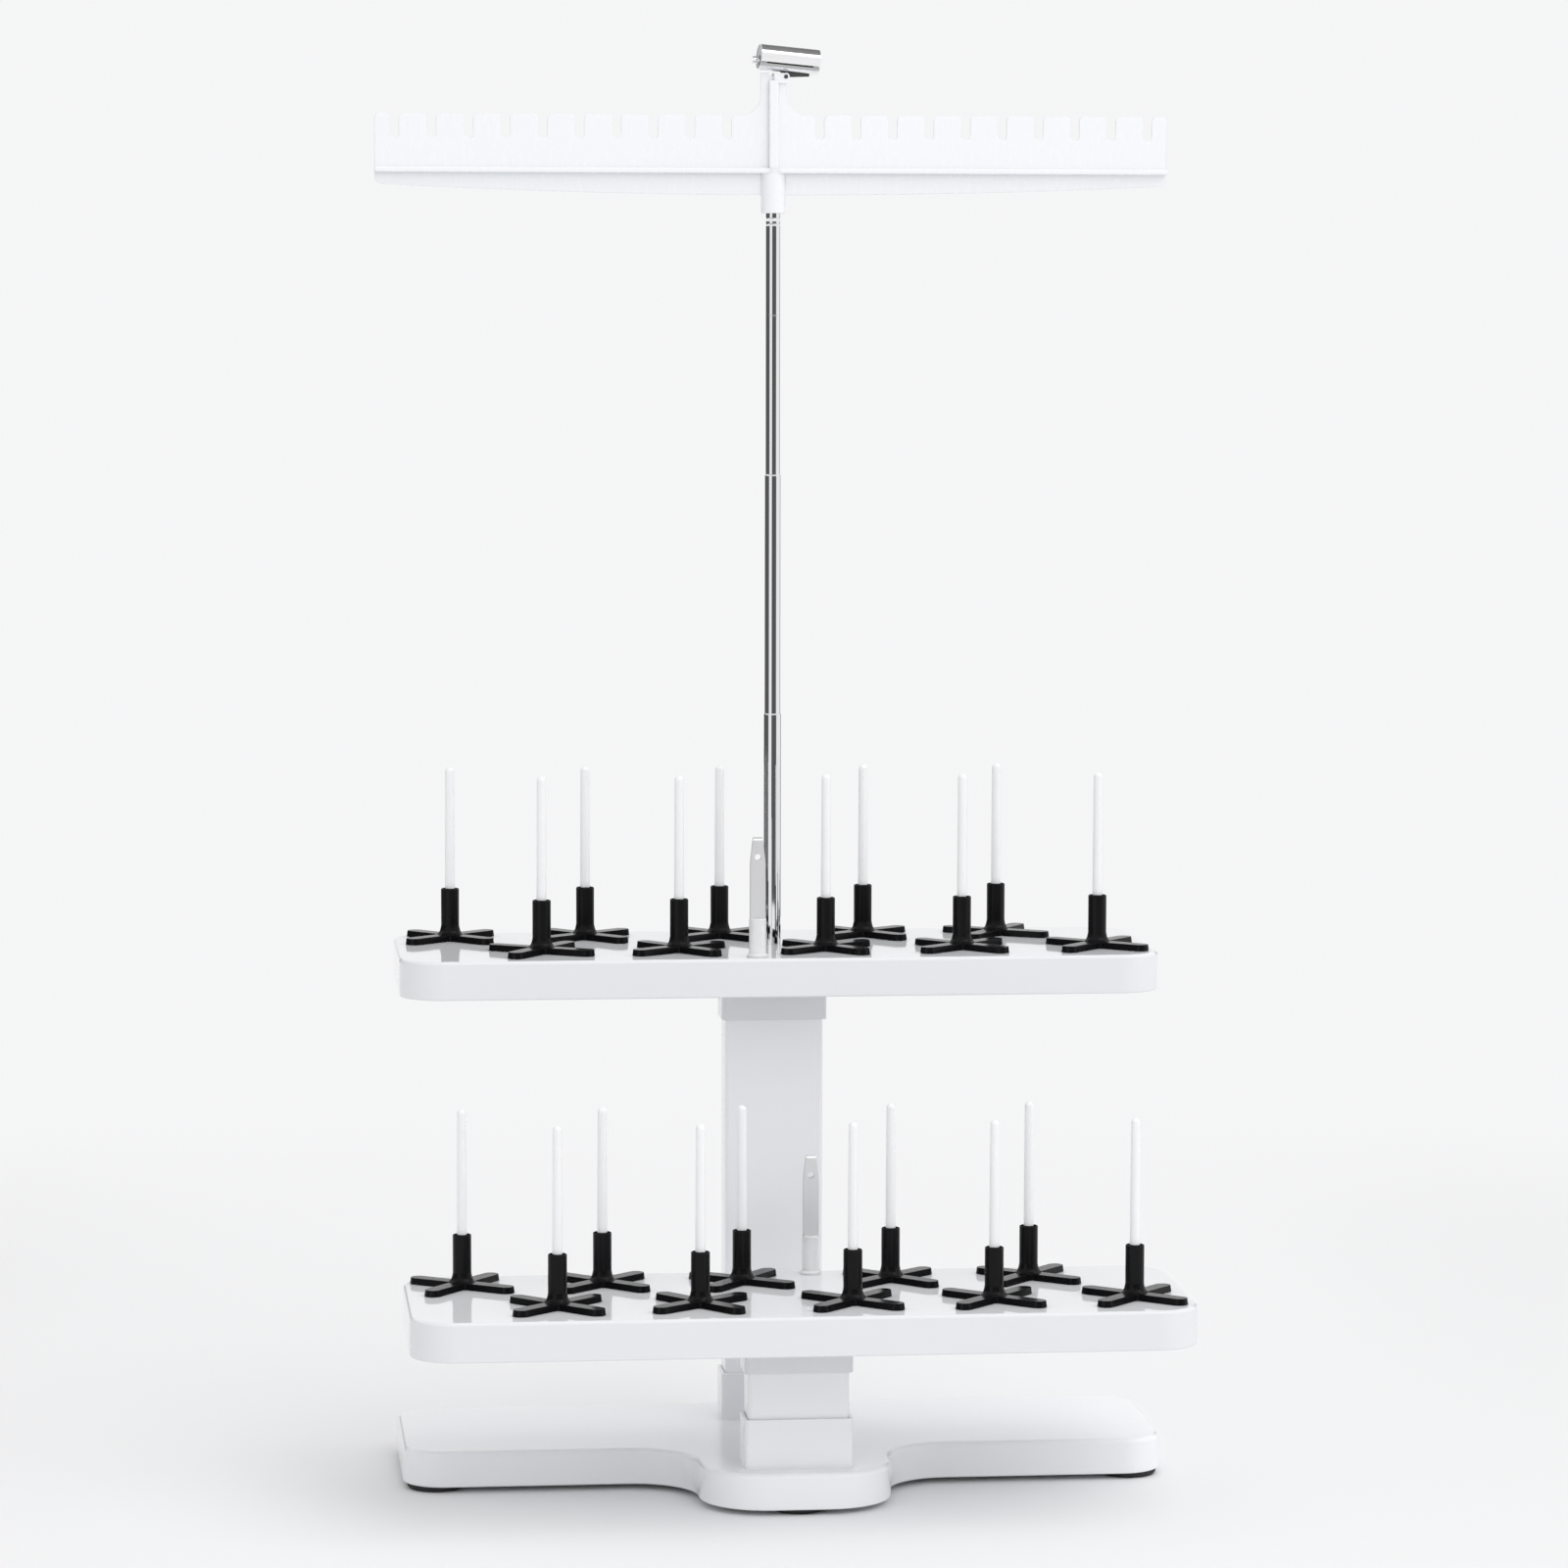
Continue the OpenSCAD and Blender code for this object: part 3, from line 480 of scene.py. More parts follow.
class NodeSheet:
    """The nodes of one material, with short calls to add and join them."""

    # Most of a noise's values lie between these two
    noise_low: float = 0.3
    noise_high: float = 0.7

    def __init__(self, name: str) -> None:
        """Start a material with its main shader.

        Args:
            name: The material's name.
        """
        self.made = bpy.data.materials.new(name)
        self.made.use_nodes = True
        self.tree = self.made.node_tree
        self.shader = self.tree.nodes["Principled BSDF"]
        self.place = self.add("ShaderNodeTexCoord").outputs["Object"]

    def add(self, kind: str, **settings: object) -> bpy.types.Node:
        """Add a node and set its properties.

        Args:
            kind: The node's type.
            **settings: Its properties.

        Returns:
            The node.
        """
        node = self.tree.nodes.new(kind)
        for key, value in settings.items():
            setattr(node, key, value)
        return node

    def set(self, values: Mapping[str, object]) -> None:
        """Set sockets of the main shader."""
        for key, value in values.items():
            self.shader.inputs[key].default_value = value

    def join(self, source: bpy.types.NodeSocket, target: bpy.types.NodeSocket) -> None:
        """Join two sockets."""
        self.tree.links.new(source, target)

    def noise(self, scale: float, detail: float = 3, stretch: Sequence[float] = (1, 1, 1)) -> bpy.types.NodeSocket:
        """Add a noise pattern in the object's own space.

        Args:
            scale: Cells per metre.
            detail: Octaves of the noise.
            stretch: Scale along each axis.

        Returns:
            The noise's value.
        """
        mapping = self.add("ShaderNodeMapping")
        mapping.inputs["Scale"].default_value = stretch
        self.join(self.place, mapping.inputs["Vector"])
        noise = self.add("ShaderNodeTexNoise")
        noise.inputs["Scale"].default_value = scale
        noise.inputs["Detail"].default_value = detail
        self.join(mapping.outputs["Vector"], noise.inputs["Vector"])
        return noise.outputs["Fac"]

    def spread(self, source: bpy.types.NodeSocket, low: float, high: float) -> bpy.types.NodeSocket:
        """Spread the middle of a noise over a range of values.

        Args:
            source: The noise's value.
            low: Lowest value.
            high: Highest value.

        Returns:
            The value.
        """
        ranged = self.add("ShaderNodeMapRange")
        ranged.inputs["From Min"].default_value = self.noise_low
        ranged.inputs["From Max"].default_value = self.noise_high
        ranged.inputs["To Min"].default_value = low
        ranged.inputs["To Max"].default_value = high
        self.join(source, ranged.inputs["Value"])
        return ranged.outputs["Result"]

    def tint(self, source: bpy.types.NodeSocket, low: Sequence[float], high: Sequence[float]) -> None:
        """Let the base colour drift between two colours with a noise.

        Args:
            source: The noise's value.
            low: Colour where the noise is low.
            high: Colour where it is high.
        """
        ramp = self.add("ShaderNodeValToRGB")
        ramp.color_ramp.elements[0].position = self.noise_low
        ramp.color_ramp.elements[0].color = (*low, 1)
        ramp.color_ramp.elements[1].position = self.noise_high
        ramp.color_ramp.elements[1].color = (*high, 1)
        self.join(source, ramp.inputs["Fac"])
        self.join(ramp.outputs["Color"], self.shader.inputs["Base Color"])

    def bumps(self, *layers: tuple[bpy.types.NodeSocket, float]) -> None:
        """Raise the surface by patterns.

        Args:
            *layers: Each pattern with its height in metres.
        """
        normal = None
        for height, distance in layers:
            bump = self.add("ShaderNodeBump")
            bump.inputs["Distance"].default_value = distance
            self.join(height, bump.inputs["Height"])
            if normal is not None:
                self.join(normal, bump.inputs["Normal"])
            normal = bump.outputs["Normal"]
        if normal is not None:
            self.join(normal, self.shader.inputs["Normal"])


@dataclass(frozen=True)
class Finish:
    """A finish of the rack, whose material is made once."""

    name: str
    slot: str
    colour: Colour
    shade: Colour
    roughness: Span

    def material(self) -> bpy.types.Material:
        """Find the finish's material, or make it."""
        return bpy.data.materials.get(self.name) or self.make()

    def make(self) -> bpy.types.Material:
        """Build the material's nodes.

        Returns:
            The material.
        """
        sheet = NodeSheet(self.name)
        drift, mottle, *relief = self.patterns(sheet)
        sheet.tint(drift, self.shade, self.colour)
        sheet.join(sheet.spread(mottle, *self.roughness), sheet.shader.inputs["Roughness"])
        sheet.bumps(*relief)
        sheet.set(self.values())
        return sheet.made

    def patterns(self, sheet: NodeSheet) -> tuple:
        """Add the patterns of the colour and the roughness, and then the layers of the relief."""
        raise NotImplementedError

    def values(self) -> dict[str, object]:
        """List the fixed values of the main shader."""
        raise NotImplementedError


@dataclass(frozen=True)
class MouldedPlastic(Finish):
    """Injection-moulded plastic with a faint unevenness and fine scuffs."""

    waviness: float = 0.00002
    wave_scale: float = 38
    grain: float = 0.0000015
    grain_scale: float = 2600
    drift_scale: float = 9
    scuff_scale: float = 420
    scuff_stretch: Triple = (1, 1, 0.25)
    glow: float = 0.0
    glow_depth: float = 0.002
    specular: float = 0.5
    refraction: float = 1.49

    def patterns(self, sheet: NodeSheet) -> tuple:
        """Add a slow drift, stretched scuffs, a gentle waviness and a fine grain.

        Args:
            sheet: The material's nodes.

        Returns:
            The patterns, and each layer of the relief with its height in metres.
        """
        return (sheet.noise(self.drift_scale, detail=2),
                sheet.noise(self.scuff_scale, detail=4, stretch=self.scuff_stretch),
                (sheet.noise(self.wave_scale, detail=1), self.waviness),
                (sheet.noise(self.grain_scale, detail=2), self.grain))

    def values(self) -> dict[str, object]:
        """List the fixed values of the main shader."""
        return {"IOR": self.refraction, "Specular IOR Level": self.specular, "Subsurface Weight": self.glow,
                "Subsurface Scale": self.glow_depth, "Subsurface Radius": (1, 1, 1)}


@dataclass(frozen=True)
class ClearPlastic(Finish):
    """Cloudy see-through plastic."""

    cloud_scale: float = 240
    ripple: float = 0.00002
    ripple_scale: float = 700
    clearness: float = 0.3
    refraction: float = 1.45

    def patterns(self, sheet: NodeSheet) -> tuple:
        """Add clouds for the colour and the roughness, and a ripple."""
        cloud = sheet.noise(self.cloud_scale)
        return cloud, cloud, (sheet.noise(self.ripple_scale, detail=2), self.ripple)

    def values(self) -> dict[str, object]:
        """List the fixed values of the main shader."""
        return {"Transmission Weight": self.clearness, "IOR": self.refraction}


@dataclass(frozen=True)
class Metal(Finish):
    """Metal with fine marks along one direction."""

    stretch: Triple = (1, 1, 1)
    marks: float = 0.000002
    mark_scale: float = 900
    drift_scale: float = 60

    def patterns(self, sheet: NodeSheet) -> tuple:
        """Add a drift of the colour, and marks for the roughness and the relief."""
        marks = sheet.noise(self.mark_scale, stretch=self.stretch)
        return sheet.noise(self.drift_scale, stretch=self.stretch), marks, (marks, self.marks)

    def values(self) -> dict[str, object]:
        """List the fixed values of the main shader."""
        return {"Metallic": 1.0}


@dataclass(frozen=True)
class Rubber(Finish):
    """Matt moulded rubber."""

    speckle: float = 0.00004
    speckle_scale: float = 1500
    drift_scale: float = 80
    refraction: float = 1.5

    def patterns(self, sheet: NodeSheet) -> tuple:
        """Add a drift of the colour, and a speckle for the roughness and the relief."""
        speckle = sheet.noise(self.speckle_scale)
        return sheet.noise(self.drift_scale), speckle, (speckle, self.speckle)

    def values(self) -> dict[str, object]:
        """List the fixed values of the main shader."""
        return {"IOR": self.refraction}


# The base, tray, post and bar finishes are copies of one white plastic, with a brightness set part by part to match the
# light on each: the tray copy is darker, as painted shade, and the post copy lighter, as painted light against the
# shade under the trays
# Each finish gives its colour, the darker shade that it drifts to, and its lowest and highest roughness
WHITE_BASE = MouldedPlastic("White base plastic", "white_shell", (0.875, 0.882, 0.905), (0.865, 0.872, 0.895),
                            (0.1, 0.17))
WHITE_TRAY_SHADED = MouldedPlastic("White tray plastic with painted shade", "white_shell", (0.775, 0.782, 0.8), (0.765, 0.772, 0.79),
                            (0.05, 0.09), specular=0.3)
WHITE_POST_LIT = MouldedPlastic("White post plastic with painted light", "white_shell", (0.9, 0.907, 0.928), (0.89, 0.897, 0.918),
                            (0.12, 0.2))
WHITE_BAR = MouldedPlastic("White bar plastic", "white_shell", (0.87, 0.883, 0.908), (0.865, 0.878, 0.903),
                           (0.26, 0.28), waviness=0.000005, grain=0.0000005, glow=0.15, specular=0.3)
WHITE_PIN = MouldedPlastic("White pin plastic", "white_pin", (0.86, 0.865, 0.875), (0.84, 0.845, 0.855), (0.3, 0.42),
                           glow=0.35, glow_depth=0.003)
BLACK_HOLDER = MouldedPlastic("Black holder plastic", "black_holder", (0.006, 0.006, 0.007), (0.0045, 0.0045, 0.005),
                              (0.18, 0.26), grain=0.000002, specular=0.14)
BLACK_RUBBER = Rubber("Black rubber", "black_rubber", (0.024, 0.024, 0.025), (0.012, 0.012, 0.013), (0.62, 0.82))
GREY_PLUG = MouldedPlastic("Grey plug plastic", "grey_plug", (0.05, 0.05, 0.052), (0.04, 0.04, 0.042), (0.4, 0.55))
LIGHT_BUSH = MouldedPlastic("Light bush plastic", "light_bush", (0.5, 0.51, 0.52), (0.46, 0.47, 0.48), (0.35, 0.5))
CHROME = Metal("Polished chrome", "chrome_tube", (0.88, 0.885, 0.89), (0.85, 0.855, 0.86), (0.02, 0.04),
               stretch=(1, 1, 0.02), marks=0.0000001)
GUIDE_METAL = Metal("Polished guide metal", "guide_metal", (0.93, 0.93, 0.935), (0.88, 0.88, 0.885), (0.1, 0.17),
                    stretch=(0.05, 1, 1), marks=0.0000005)
STRIP_METAL = Metal("Brushed strip metal", "guide_metal", (0.95, 0.95, 0.955), (0.9, 0.9, 0.905), (0.42, 0.5),
                    stretch=(1, 1, 0.05))
SCREW_STEEL = Metal("Zinc plated steel", "screw_steel", (0.66, 0.66, 0.65), (0.55, 0.55, 0.54), (0.25, 0.4))
CLEAR = ClearPlastic("Cloudy clear plastic", "clear_plastic", (0.97, 0.975, 0.98), (0.93, 0.94, 0.95), (0.1, 0.22))


@dataclass
class Fastener:
    """Pan head of a screw, with a cross recess. The rest of the screw is hidden."""

    head_radius: float = 2.75
    head_height: float = 1.6
    recess_reach: float = 1.5
    recess_width: float = 0.5
    recess_depth: float = 0.9
    # The head's edge, as shares of its radius and height
    edge: tuple[Point, ...] = ((1, 0), (1, 0.45), (0.9, 0.8), (0.72, 1))
    steps: int = 24

    def head(self, facing_down: bool = True) -> Shape:
        """Model the head at the origin, with its flat face on the XY plane.

        Args:
            facing_down: Whether the head's face looks down.

        Returns:
            The head.
        """
        radius, height = self.head_radius, self.head_height
        edge = [(radius * across, height * up) for across, up in self.edge]
        shape = Shape.lathe([(0, 0), *edge, (0, height)], steps=self.steps)
        reach, half = self.recess_reach, self.recess_width
        corner = [(reach, half), (half, half), (half, reach)]
        outline = [(x * c - y * s, x * s + y * c) for c, s in ((1, 0), (0, 1), (-1, 0), (0, -1)) for x, y in corner]
        shape = cut(shape, Shape.slab(outline, height - self.recess_depth, height + OVER))
        if facing_down:
            shape.rotate("X", 180).move((0, 0, height))
        return shape


@dataclass(kw_only=True)
class Moulding:
    """Moulded body with soft rims, open below for its cover, and with a sleeve that takes a post."""

    top_round: float = 2
    top_steps: int = 5
    bottom_round: float = 0.8
    wall: float = 2.2
    cover_gap: float = 0.2
    cover_thickness: float = 3.2
    cover_round: float = 0.5
    sleeve_wall: float = 1.85
    sleeve_round: float = 3
    sleeve_steps: int = 5
    fit: float = 0.15
    lip_round: float = 0.35
    sunk: float = 0.5

    def open_below(self, shell: Shape, low: float, high: float) -> Shape:
        """Soften the rims of a shell and sink its underside, where the cover goes.

        Args:
            shell: The shell.
            low: Height of its underside.
            high: Height of its top.

        Returns:
            The same shell.
        """
        shell.soften(Shape.rim(high), self.top_round, self.top_steps)
        shell.soften(Shape.rim(low), self.bottom_round)
        shell.step(shell.level_faces(low)[0], self.wall - self.bottom_round / 2, self.cover_thickness)
        return shell

    def sleeve(self, post: str, foot: float, top: float, lip: float) -> Shape:
        """Model the sleeve that stands or hangs round a post.

        Args:
            post: The post's node.
            foot: Height of its lower end.
            top: Height of its upper end.
            lip: Height of the end that is seen.

        Returns:
            The sleeve.
        """
        low, high = node_box(post)
        out = self.fit + self.sleeve_wall
        shape = Shape.rounded_block((low.x - out, low.y - out, foot), (high.x + out, high.y + out, top),
                                    self.sleeve_round, self.sleeve_steps)
        shape.bore(foot, top, self.sleeve_wall)
        return shape.soften(Shape.rim(lip), self.lip_round, THIN)


@dataclass
class Base(Moulding):
    """Low base with a front lobe, sockets for the two posts, its cover and feet. Its screws are built apart, by Screws.
    """

    corner_radius: float = 22
    bar_depth: float = 124
    lobe_width: float = 103
    lobe_radius: float = 36
    blend_radius: float = 35
    top_round: float = field(default=3, kw_only=True)
    top_steps: int = field(default=6, kw_only=True)
    bottom_round: float = field(default=1.2, kw_only=True)
    socket_height: float = 26.5
    corner_steps: int = 12
    foot_hollow: float = 0.25
    # Shares of a foot's radius between which its hollow ends
    foot_ring: Point = (0.55, 0.6)
    # Distance inside a foot's rim and height of the points of its lower edge
    foot_edge: tuple[Point, ...] = ((2.2, 0), (1.1, 0.5), (0.4, 1.4))
    foot_steps: int = 64

    def outline(self, inset: float) -> list[Point]:
        """List the corners of the base, seen from above.

        Args:
            inset: How far inside the base's edge they lie.

        Returns:
            The corners in order, from the back left one by the lobe in front to the back right one.
        """
        low, high = node_box("base_shell")
        bar_front = high.y - self.bar_depth + inset
        half_lobe = self.lobe_width / 2 - inset
        left, right, back, front = low.x + inset, high.x - inset, high.y - inset, low.y + inset
        return [(left, back), (left, bar_front), (-half_lobe, bar_front), (-half_lobe, front),
                (half_lobe, front), (half_lobe, bar_front), (right, bar_front), (right, back)]

    def slab(self, inset: float, low: float, high: float) -> Shape:
        """Model the base's outline as a slab with round corners.

        Args:
            inset: How far inside the base's edge it ends.
            low: Height of its underside.
            high: Height of its top.

        Returns:
            The slab.
        """
        corners = self.outline(inset)
        back_left, left, inner_left, lobe_left, lobe_right, inner_right, right, back_right = corners
        shape = Shape.slab(corners, low, high)
        shape.soften_at([back_left, left, right, back_right], self.corner_radius - inset, self.corner_steps)
        shape.soften_at([lobe_left, lobe_right], self.lobe_radius - inset, self.corner_steps)
        return shape.soften_at([inner_left, inner_right], self.blend_radius + inset, self.corner_steps)

    def socket(self, post: str) -> Shape:
        """Model the socket that stands round a post.

        Args:
            post: The post's node.

        Returns:
            The socket.
        """
        foot = node_box(post)[0].z
        top = foot + self.socket_height
        return self.sleeve(post, foot - self.sunk, top, top)

    def build(self) -> None:
        """Build the base's pieces."""
        low, _ = node_box("base_shell")
        top = node_box("front_post")[0].z
        shell = self.open_below(self.slab(0, low.z, top), low.z, top)
        shell.add(self.socket("front_post"), self.socket("rear_post"))
        shell.finish("base_shell_piece", "stand", WHITE_BASE, ["base_shell"])
        cover_low, cover_high = node_box("base_cover")
        cover = self.slab(self.wall + self.cover_gap, cover_low.z, cover_high.z - TINY)
        cover.soften(Shape.rim(cover_low.z), self.cover_round, THIN)
        cover.finish("base_cover_piece", "stand", WHITE_BASE, ["base_cover"])
        self.build_feet()

    def build_feet(self) -> None:
        """Build the rubber feet, each with a soft lower edge."""
        feet = Shape()
        inner, outer = self.foot_ring
        for low, high in islands("base_feet"):
            radius, height = (high.x - low.x) / 2, high.z - low.z
            middle = (low + high) / 2
            edge = [(radius - inside, up) for inside, up in self.foot_edge]
            profile = [(0, self.foot_hollow), (radius * inner, self.foot_hollow), (radius * outer, 0), *edge,
                       (radius, height), (0, height)]
            feet.add(Shape.lathe(profile, (middle.x, middle.y, low.z), self.foot_steps))
        feet.finish("rubber_feet", "stand", BLACK_RUBBER, ["base_feet"])


@dataclass
class Screws:
    """A group of like screws, of which only the heads are seen."""

    node: str
    name: str
    shank_radius: float = 1.3
    overlap: float = 0.05
    socket_reach: float = 20
    steps: int = 12
    fastener: Fastener = field(default_factory=Fastener)

    def build(self) -> None:
        """Build the heads where the node's solids are, and thin shanks inside."""
        group = Shape()
        head_height = self.fastener.head_height
        for low, high in islands(self.node):
            middle = (low + high) / 2
            length = high.z - low.z - head_height
            profile = [(0, 0), (self.shank_radius, 0), (self.shank_radius, length), (0, length)]
            shank = Shape.lathe(profile, steps=self.steps)
            head = self.fastener.head(self.head_is_low(middle))
            if self.head_is_low(middle):
                group.add(head.move((middle.x, middle.y, low.z)))
                group.add(shank.move((middle.x, middle.y, low.z + head_height - self.overlap)))
            else:
                group.add(head.move((middle.x, middle.y, high.z - head_height)))
                group.add(shank.move((middle.x, middle.y, low.z + self.overlap)))
        group.finish(self.name, "stand", SCREW_STEEL, [self.node])

    def head_is_low(self, middle: Vector) -> bool:
        """Tell whether a screw's head is at its lower end."""
        return self.node != "post_screws" or middle.z < node_box("front_post")[0].z + self.socket_reach


@dataclass
class Tray(Moulding):
    """Tray with its cover, the collar that takes the post, and its pins."""

    level: Level
    post: str
    corner_radius: float = 24
    pole_fit: float = 0.02
    pin_radius: float = 2.7
    pin_tip_radius: float = 2.4
    pin_straight: float = 32
    pin_seat: float = 10
    pin_tip_steps: int = 8
    pin_steps: int = 32
    pole_steps: int = 64
    corner_steps: int = 16
    cover_steps: int = 12

    def build(self) -> None:
        """Build the tray's pieces."""
        name = self.level.value
        low, high = node_box(f"{name}_tray_shell")
        shell = self.open_below(Shape.rounded_block(low, high, self.corner_radius, self.corner_steps), low.z, high.z)
        if self.level is Level.UPPER:
            shell = cut(shell, self.pole_bore(low.z, high.z))
        # The tray's shell and cover take the darker copy of the white plastic, which paints shade into their colour
        shell.finish(f"{name}_tray_shell_piece", "stand", WHITE_TRAY_SHADED, [f"{name}_tray_shell"])
        self.build_cover()
        self.build_pins(high.z)

    def pole_bore(self, low: float, high: float) -> Shape:
        """Model the round hole through which the pole stands in the tray.

        Args:
            low: Height of the tray's underside.
            high: Height of its top.

        Returns:
            What is drilled out.
        """
        pole_low, pole_high = node_box("pole_lower_tube")
        middle = (pole_low + pole_high) / 2
        radius = (pole_high.x - pole_low.x) / 2 + self.pole_fit
        profile = [(0, low - OVER), (radius, low - OVER), (radius, high + OVER), (0, high + OVER)]
        return Shape.lathe(profile, (middle.x, middle.y, 0), self.pole_steps)

    def build_cover(self) -> None:
        """Build the cover under the tray with its collar."""
        name = self.level.value
        low, high = node_box(f"{name}_tray_shell")
        inset = Vector((self.wall + self.cover_gap, self.wall + self.cover_gap, 0))
        top = Vector((high.x, high.y, low.z + self.cover_thickness - TINY))
        cover = Shape.rounded_block(low + inset, top - inset, self.corner_radius - inset.x, self.cover_steps)
        cover.soften(Shape.rim(low.z), self.cover_round, THIN)
        foot = node_box(f"{name}_tray_cover")[0].z
        cover.add(self.sleeve(self.post, foot, low.z + self.sunk, foot))
        cover.finish(f"{name}_tray_cover_piece", "stand", WHITE_TRAY_SHADED, [f"{name}_tray_cover"])

    def build_pins(self, top: float) -> None:
        """Build the tray's pins: a straight foot, a slight taper and a bullet tip.

        Args:
            top: Height of the tray's top.
        """
        node = f"{self.level.value}_spool_pins"
        pins = Shape()
        for low, high in islands(node):
            middle = (low + high) / 2
            shoulder = high.z - low.z - self.pin_tip_radius
            profile = [(0, 0), (self.pin_radius, 0), (self.pin_radius, self.pin_seat + self.pin_straight)]
            for i in range(self.pin_tip_steps + 1):
                angle = math.radians(90 * i / self.pin_tip_steps)
                profile.append((self.pin_tip_radius * math.cos(angle),
                                shoulder + self.pin_tip_radius * math.sin(angle)))
            profile[-1] = (0, profile[-1][1])
            pins.add(Shape.lathe(profile, (middle.x, middle.y, low.z), self.pin_steps))
        pins.finish(f"{self.level.value}_pins_piece", "stand", WHITE_PIN, [node])


@dataclass
class Holder:
    """Cross with a hub and a collar that centres a spool on its pin."""

    reach: float = 32.5
    arm_width: float = 9.5
    arm_height: float = 3.3
    draft: float = 0.45
    hub_radius: float = 7.5
    collar_radius: float = 5
    bore_radius: float = 2.78
    height: float = 28.8
    arm_round: float = 0.45
    disc_steps: int = 48
    # Distance outside the collar and height above the arms of the points of the flare
    flare: tuple[Point, ...] = ((1.9, 0.35), (1.15, 1.1), (0.6, 2.2), (0.25, 3.6), (0, 5))
    lip: float = 0.5
    lip_round: float = 0.15

    def model(self) -> Shape:
        """Model a holder that stands on the XY plane at the origin, with its arms along X and Y.

        Returns:
            The holder.
        """
        shape = Shape()
        bm = shape.bm
        bmesh.ops.create_circle(bm, cap_ends=True, radius=self.hub_radius, segments=self.disc_steps)
        raise_faces(bm, list(bm.faces), self.arm_height)
        bmesh.ops.recalc_face_normals(bm, faces=bm.faces)
        for vertex in (v for v in bm.verts if v.co.z > self.arm_height / 2):
            vertex.co.xy *= 1 - self.draft / self.hub_radius
        for quarter in range(4):
            bm.normal_update()
            self.pull_arm(shape, quarter * math.pi / 2)
        shape.soften(Shape.rim(self.arm_height), self.arm_round)
        self.raise_collar(shape)
        return shape

    def pull_arm(self, shape: Shape, heading: float) -> None:
        """Pull one arm out of the hub's wall.

        Args:
            shape: The hub.
            heading: Direction of the arm.
        """
        bm = shape.bm
        along = Vector((math.cos(heading), math.sin(heading), 0))
        across = Vector((-along.y, along.x, 0))
        half = self.arm_width / 2
        walls = []
        for face in bm.faces:
            middle = face.calc_center_median()
            if abs(face.normal.z) < STEEP and middle.dot(along) > 0 and abs(middle.dot(across)) < half:
                walls.append(face)
        pulled = bmesh.ops.extrude_face_region(bm, geom=walls)["geom"]
        bend = self.reach - half
        for vertex in vertices_in(pulled):
            angle = math.asin(max(-1, min(1, vertex.co.dot(across) / self.hub_radius)))
            swing = angle / math.asin(half / self.hub_radius) * math.pi / 2
            radius = half if vertex.co.z < self.arm_height / 2 else half - self.draft
            vertex.co = along * (bend + radius * math.cos(swing)) + across * radius * math.sin(swing) + UP * vertex.co.z

    def raise_collar(self, shape: Shape) -> None:
        """Raise the hub's flare and the collar out of the top of the cross, and bore it.

        Args:
            shape: The cross.
        """
        bm = shape.bm
        arm, top, rim, bore = self.arm_height, self.height, self.collar_radius, self.bore_radius
        rings = [(rim + out, arm + up) for out, up in self.flare]
        rings += [(rim, top - self.lip), (rim - self.lip_round, top - self.lip_round), (rim - self.lip, top),
                  (bore + self.lip, top), (bore, top - self.lip), (bore, arm)]
        face = shape.level_faces(arm)[0]
        for radius, height in rings:
            face = self.pull_ring(bm, face, radius, height)
        under = self.pull_ring(bm, shape.level_faces(0)[0], bore, 0)
        loops = [*face.edges, *under.edges]
        bmesh.ops.delete(bm, geom=[face, under], context="FACES_ONLY")
        bmesh.ops.bridge_loops(bm, edges=loops)
        bmesh.ops.recalc_face_normals(bm, faces=bm.faces)

    @staticmethod
    def pull_ring(bm: bmesh.types.BMesh, face: bmesh.types.BMFace, radius: float, height: float) -> bmesh.types.BMFace:
        """Extrude a round face to a new radius and height.

        Args:
            bm: The mesh.
            face: The face.
            radius: Its new radius.
            height: Its new height.

        Returns:
            The new face.
        """
        pulled = bmesh.ops.extrude_face_region(bm, geom=[face])["geom"]
        for vertex in vertices_in(pulled):
            outward = vertex.co.xy.normalized() * radius
            vertex.co = (outward.x, outward.y, height)
        return faces_in(pulled)[0]


@dataclass
class HolderSet:
    """The ten holders of a tray, each at its own turn."""

    level: Level
    turns: tuple[float, ...]
    holder: Holder = field(default_factory=Holder)

    def build(self) -> None:
        """Build the holders from left to right, back and front in turn."""
        model = self.holder.model()
        for index, turn in enumerate(self.turns):
            row = Row.FRONT if index % 2 else Row.BACK
            node = f"{self.level.value}_holder_{row.value}_{index // 2 + 1}"
            low, high = node_box(node)
            middle = (low + high) / 2
            piece = model.copy().rotate("Z", turn).move((middle.x, middle.y, low.z))
            piece.finish(f"{node}_piece", f"{node}_body", BLACK_HOLDER, [node])
        model.bm.free()


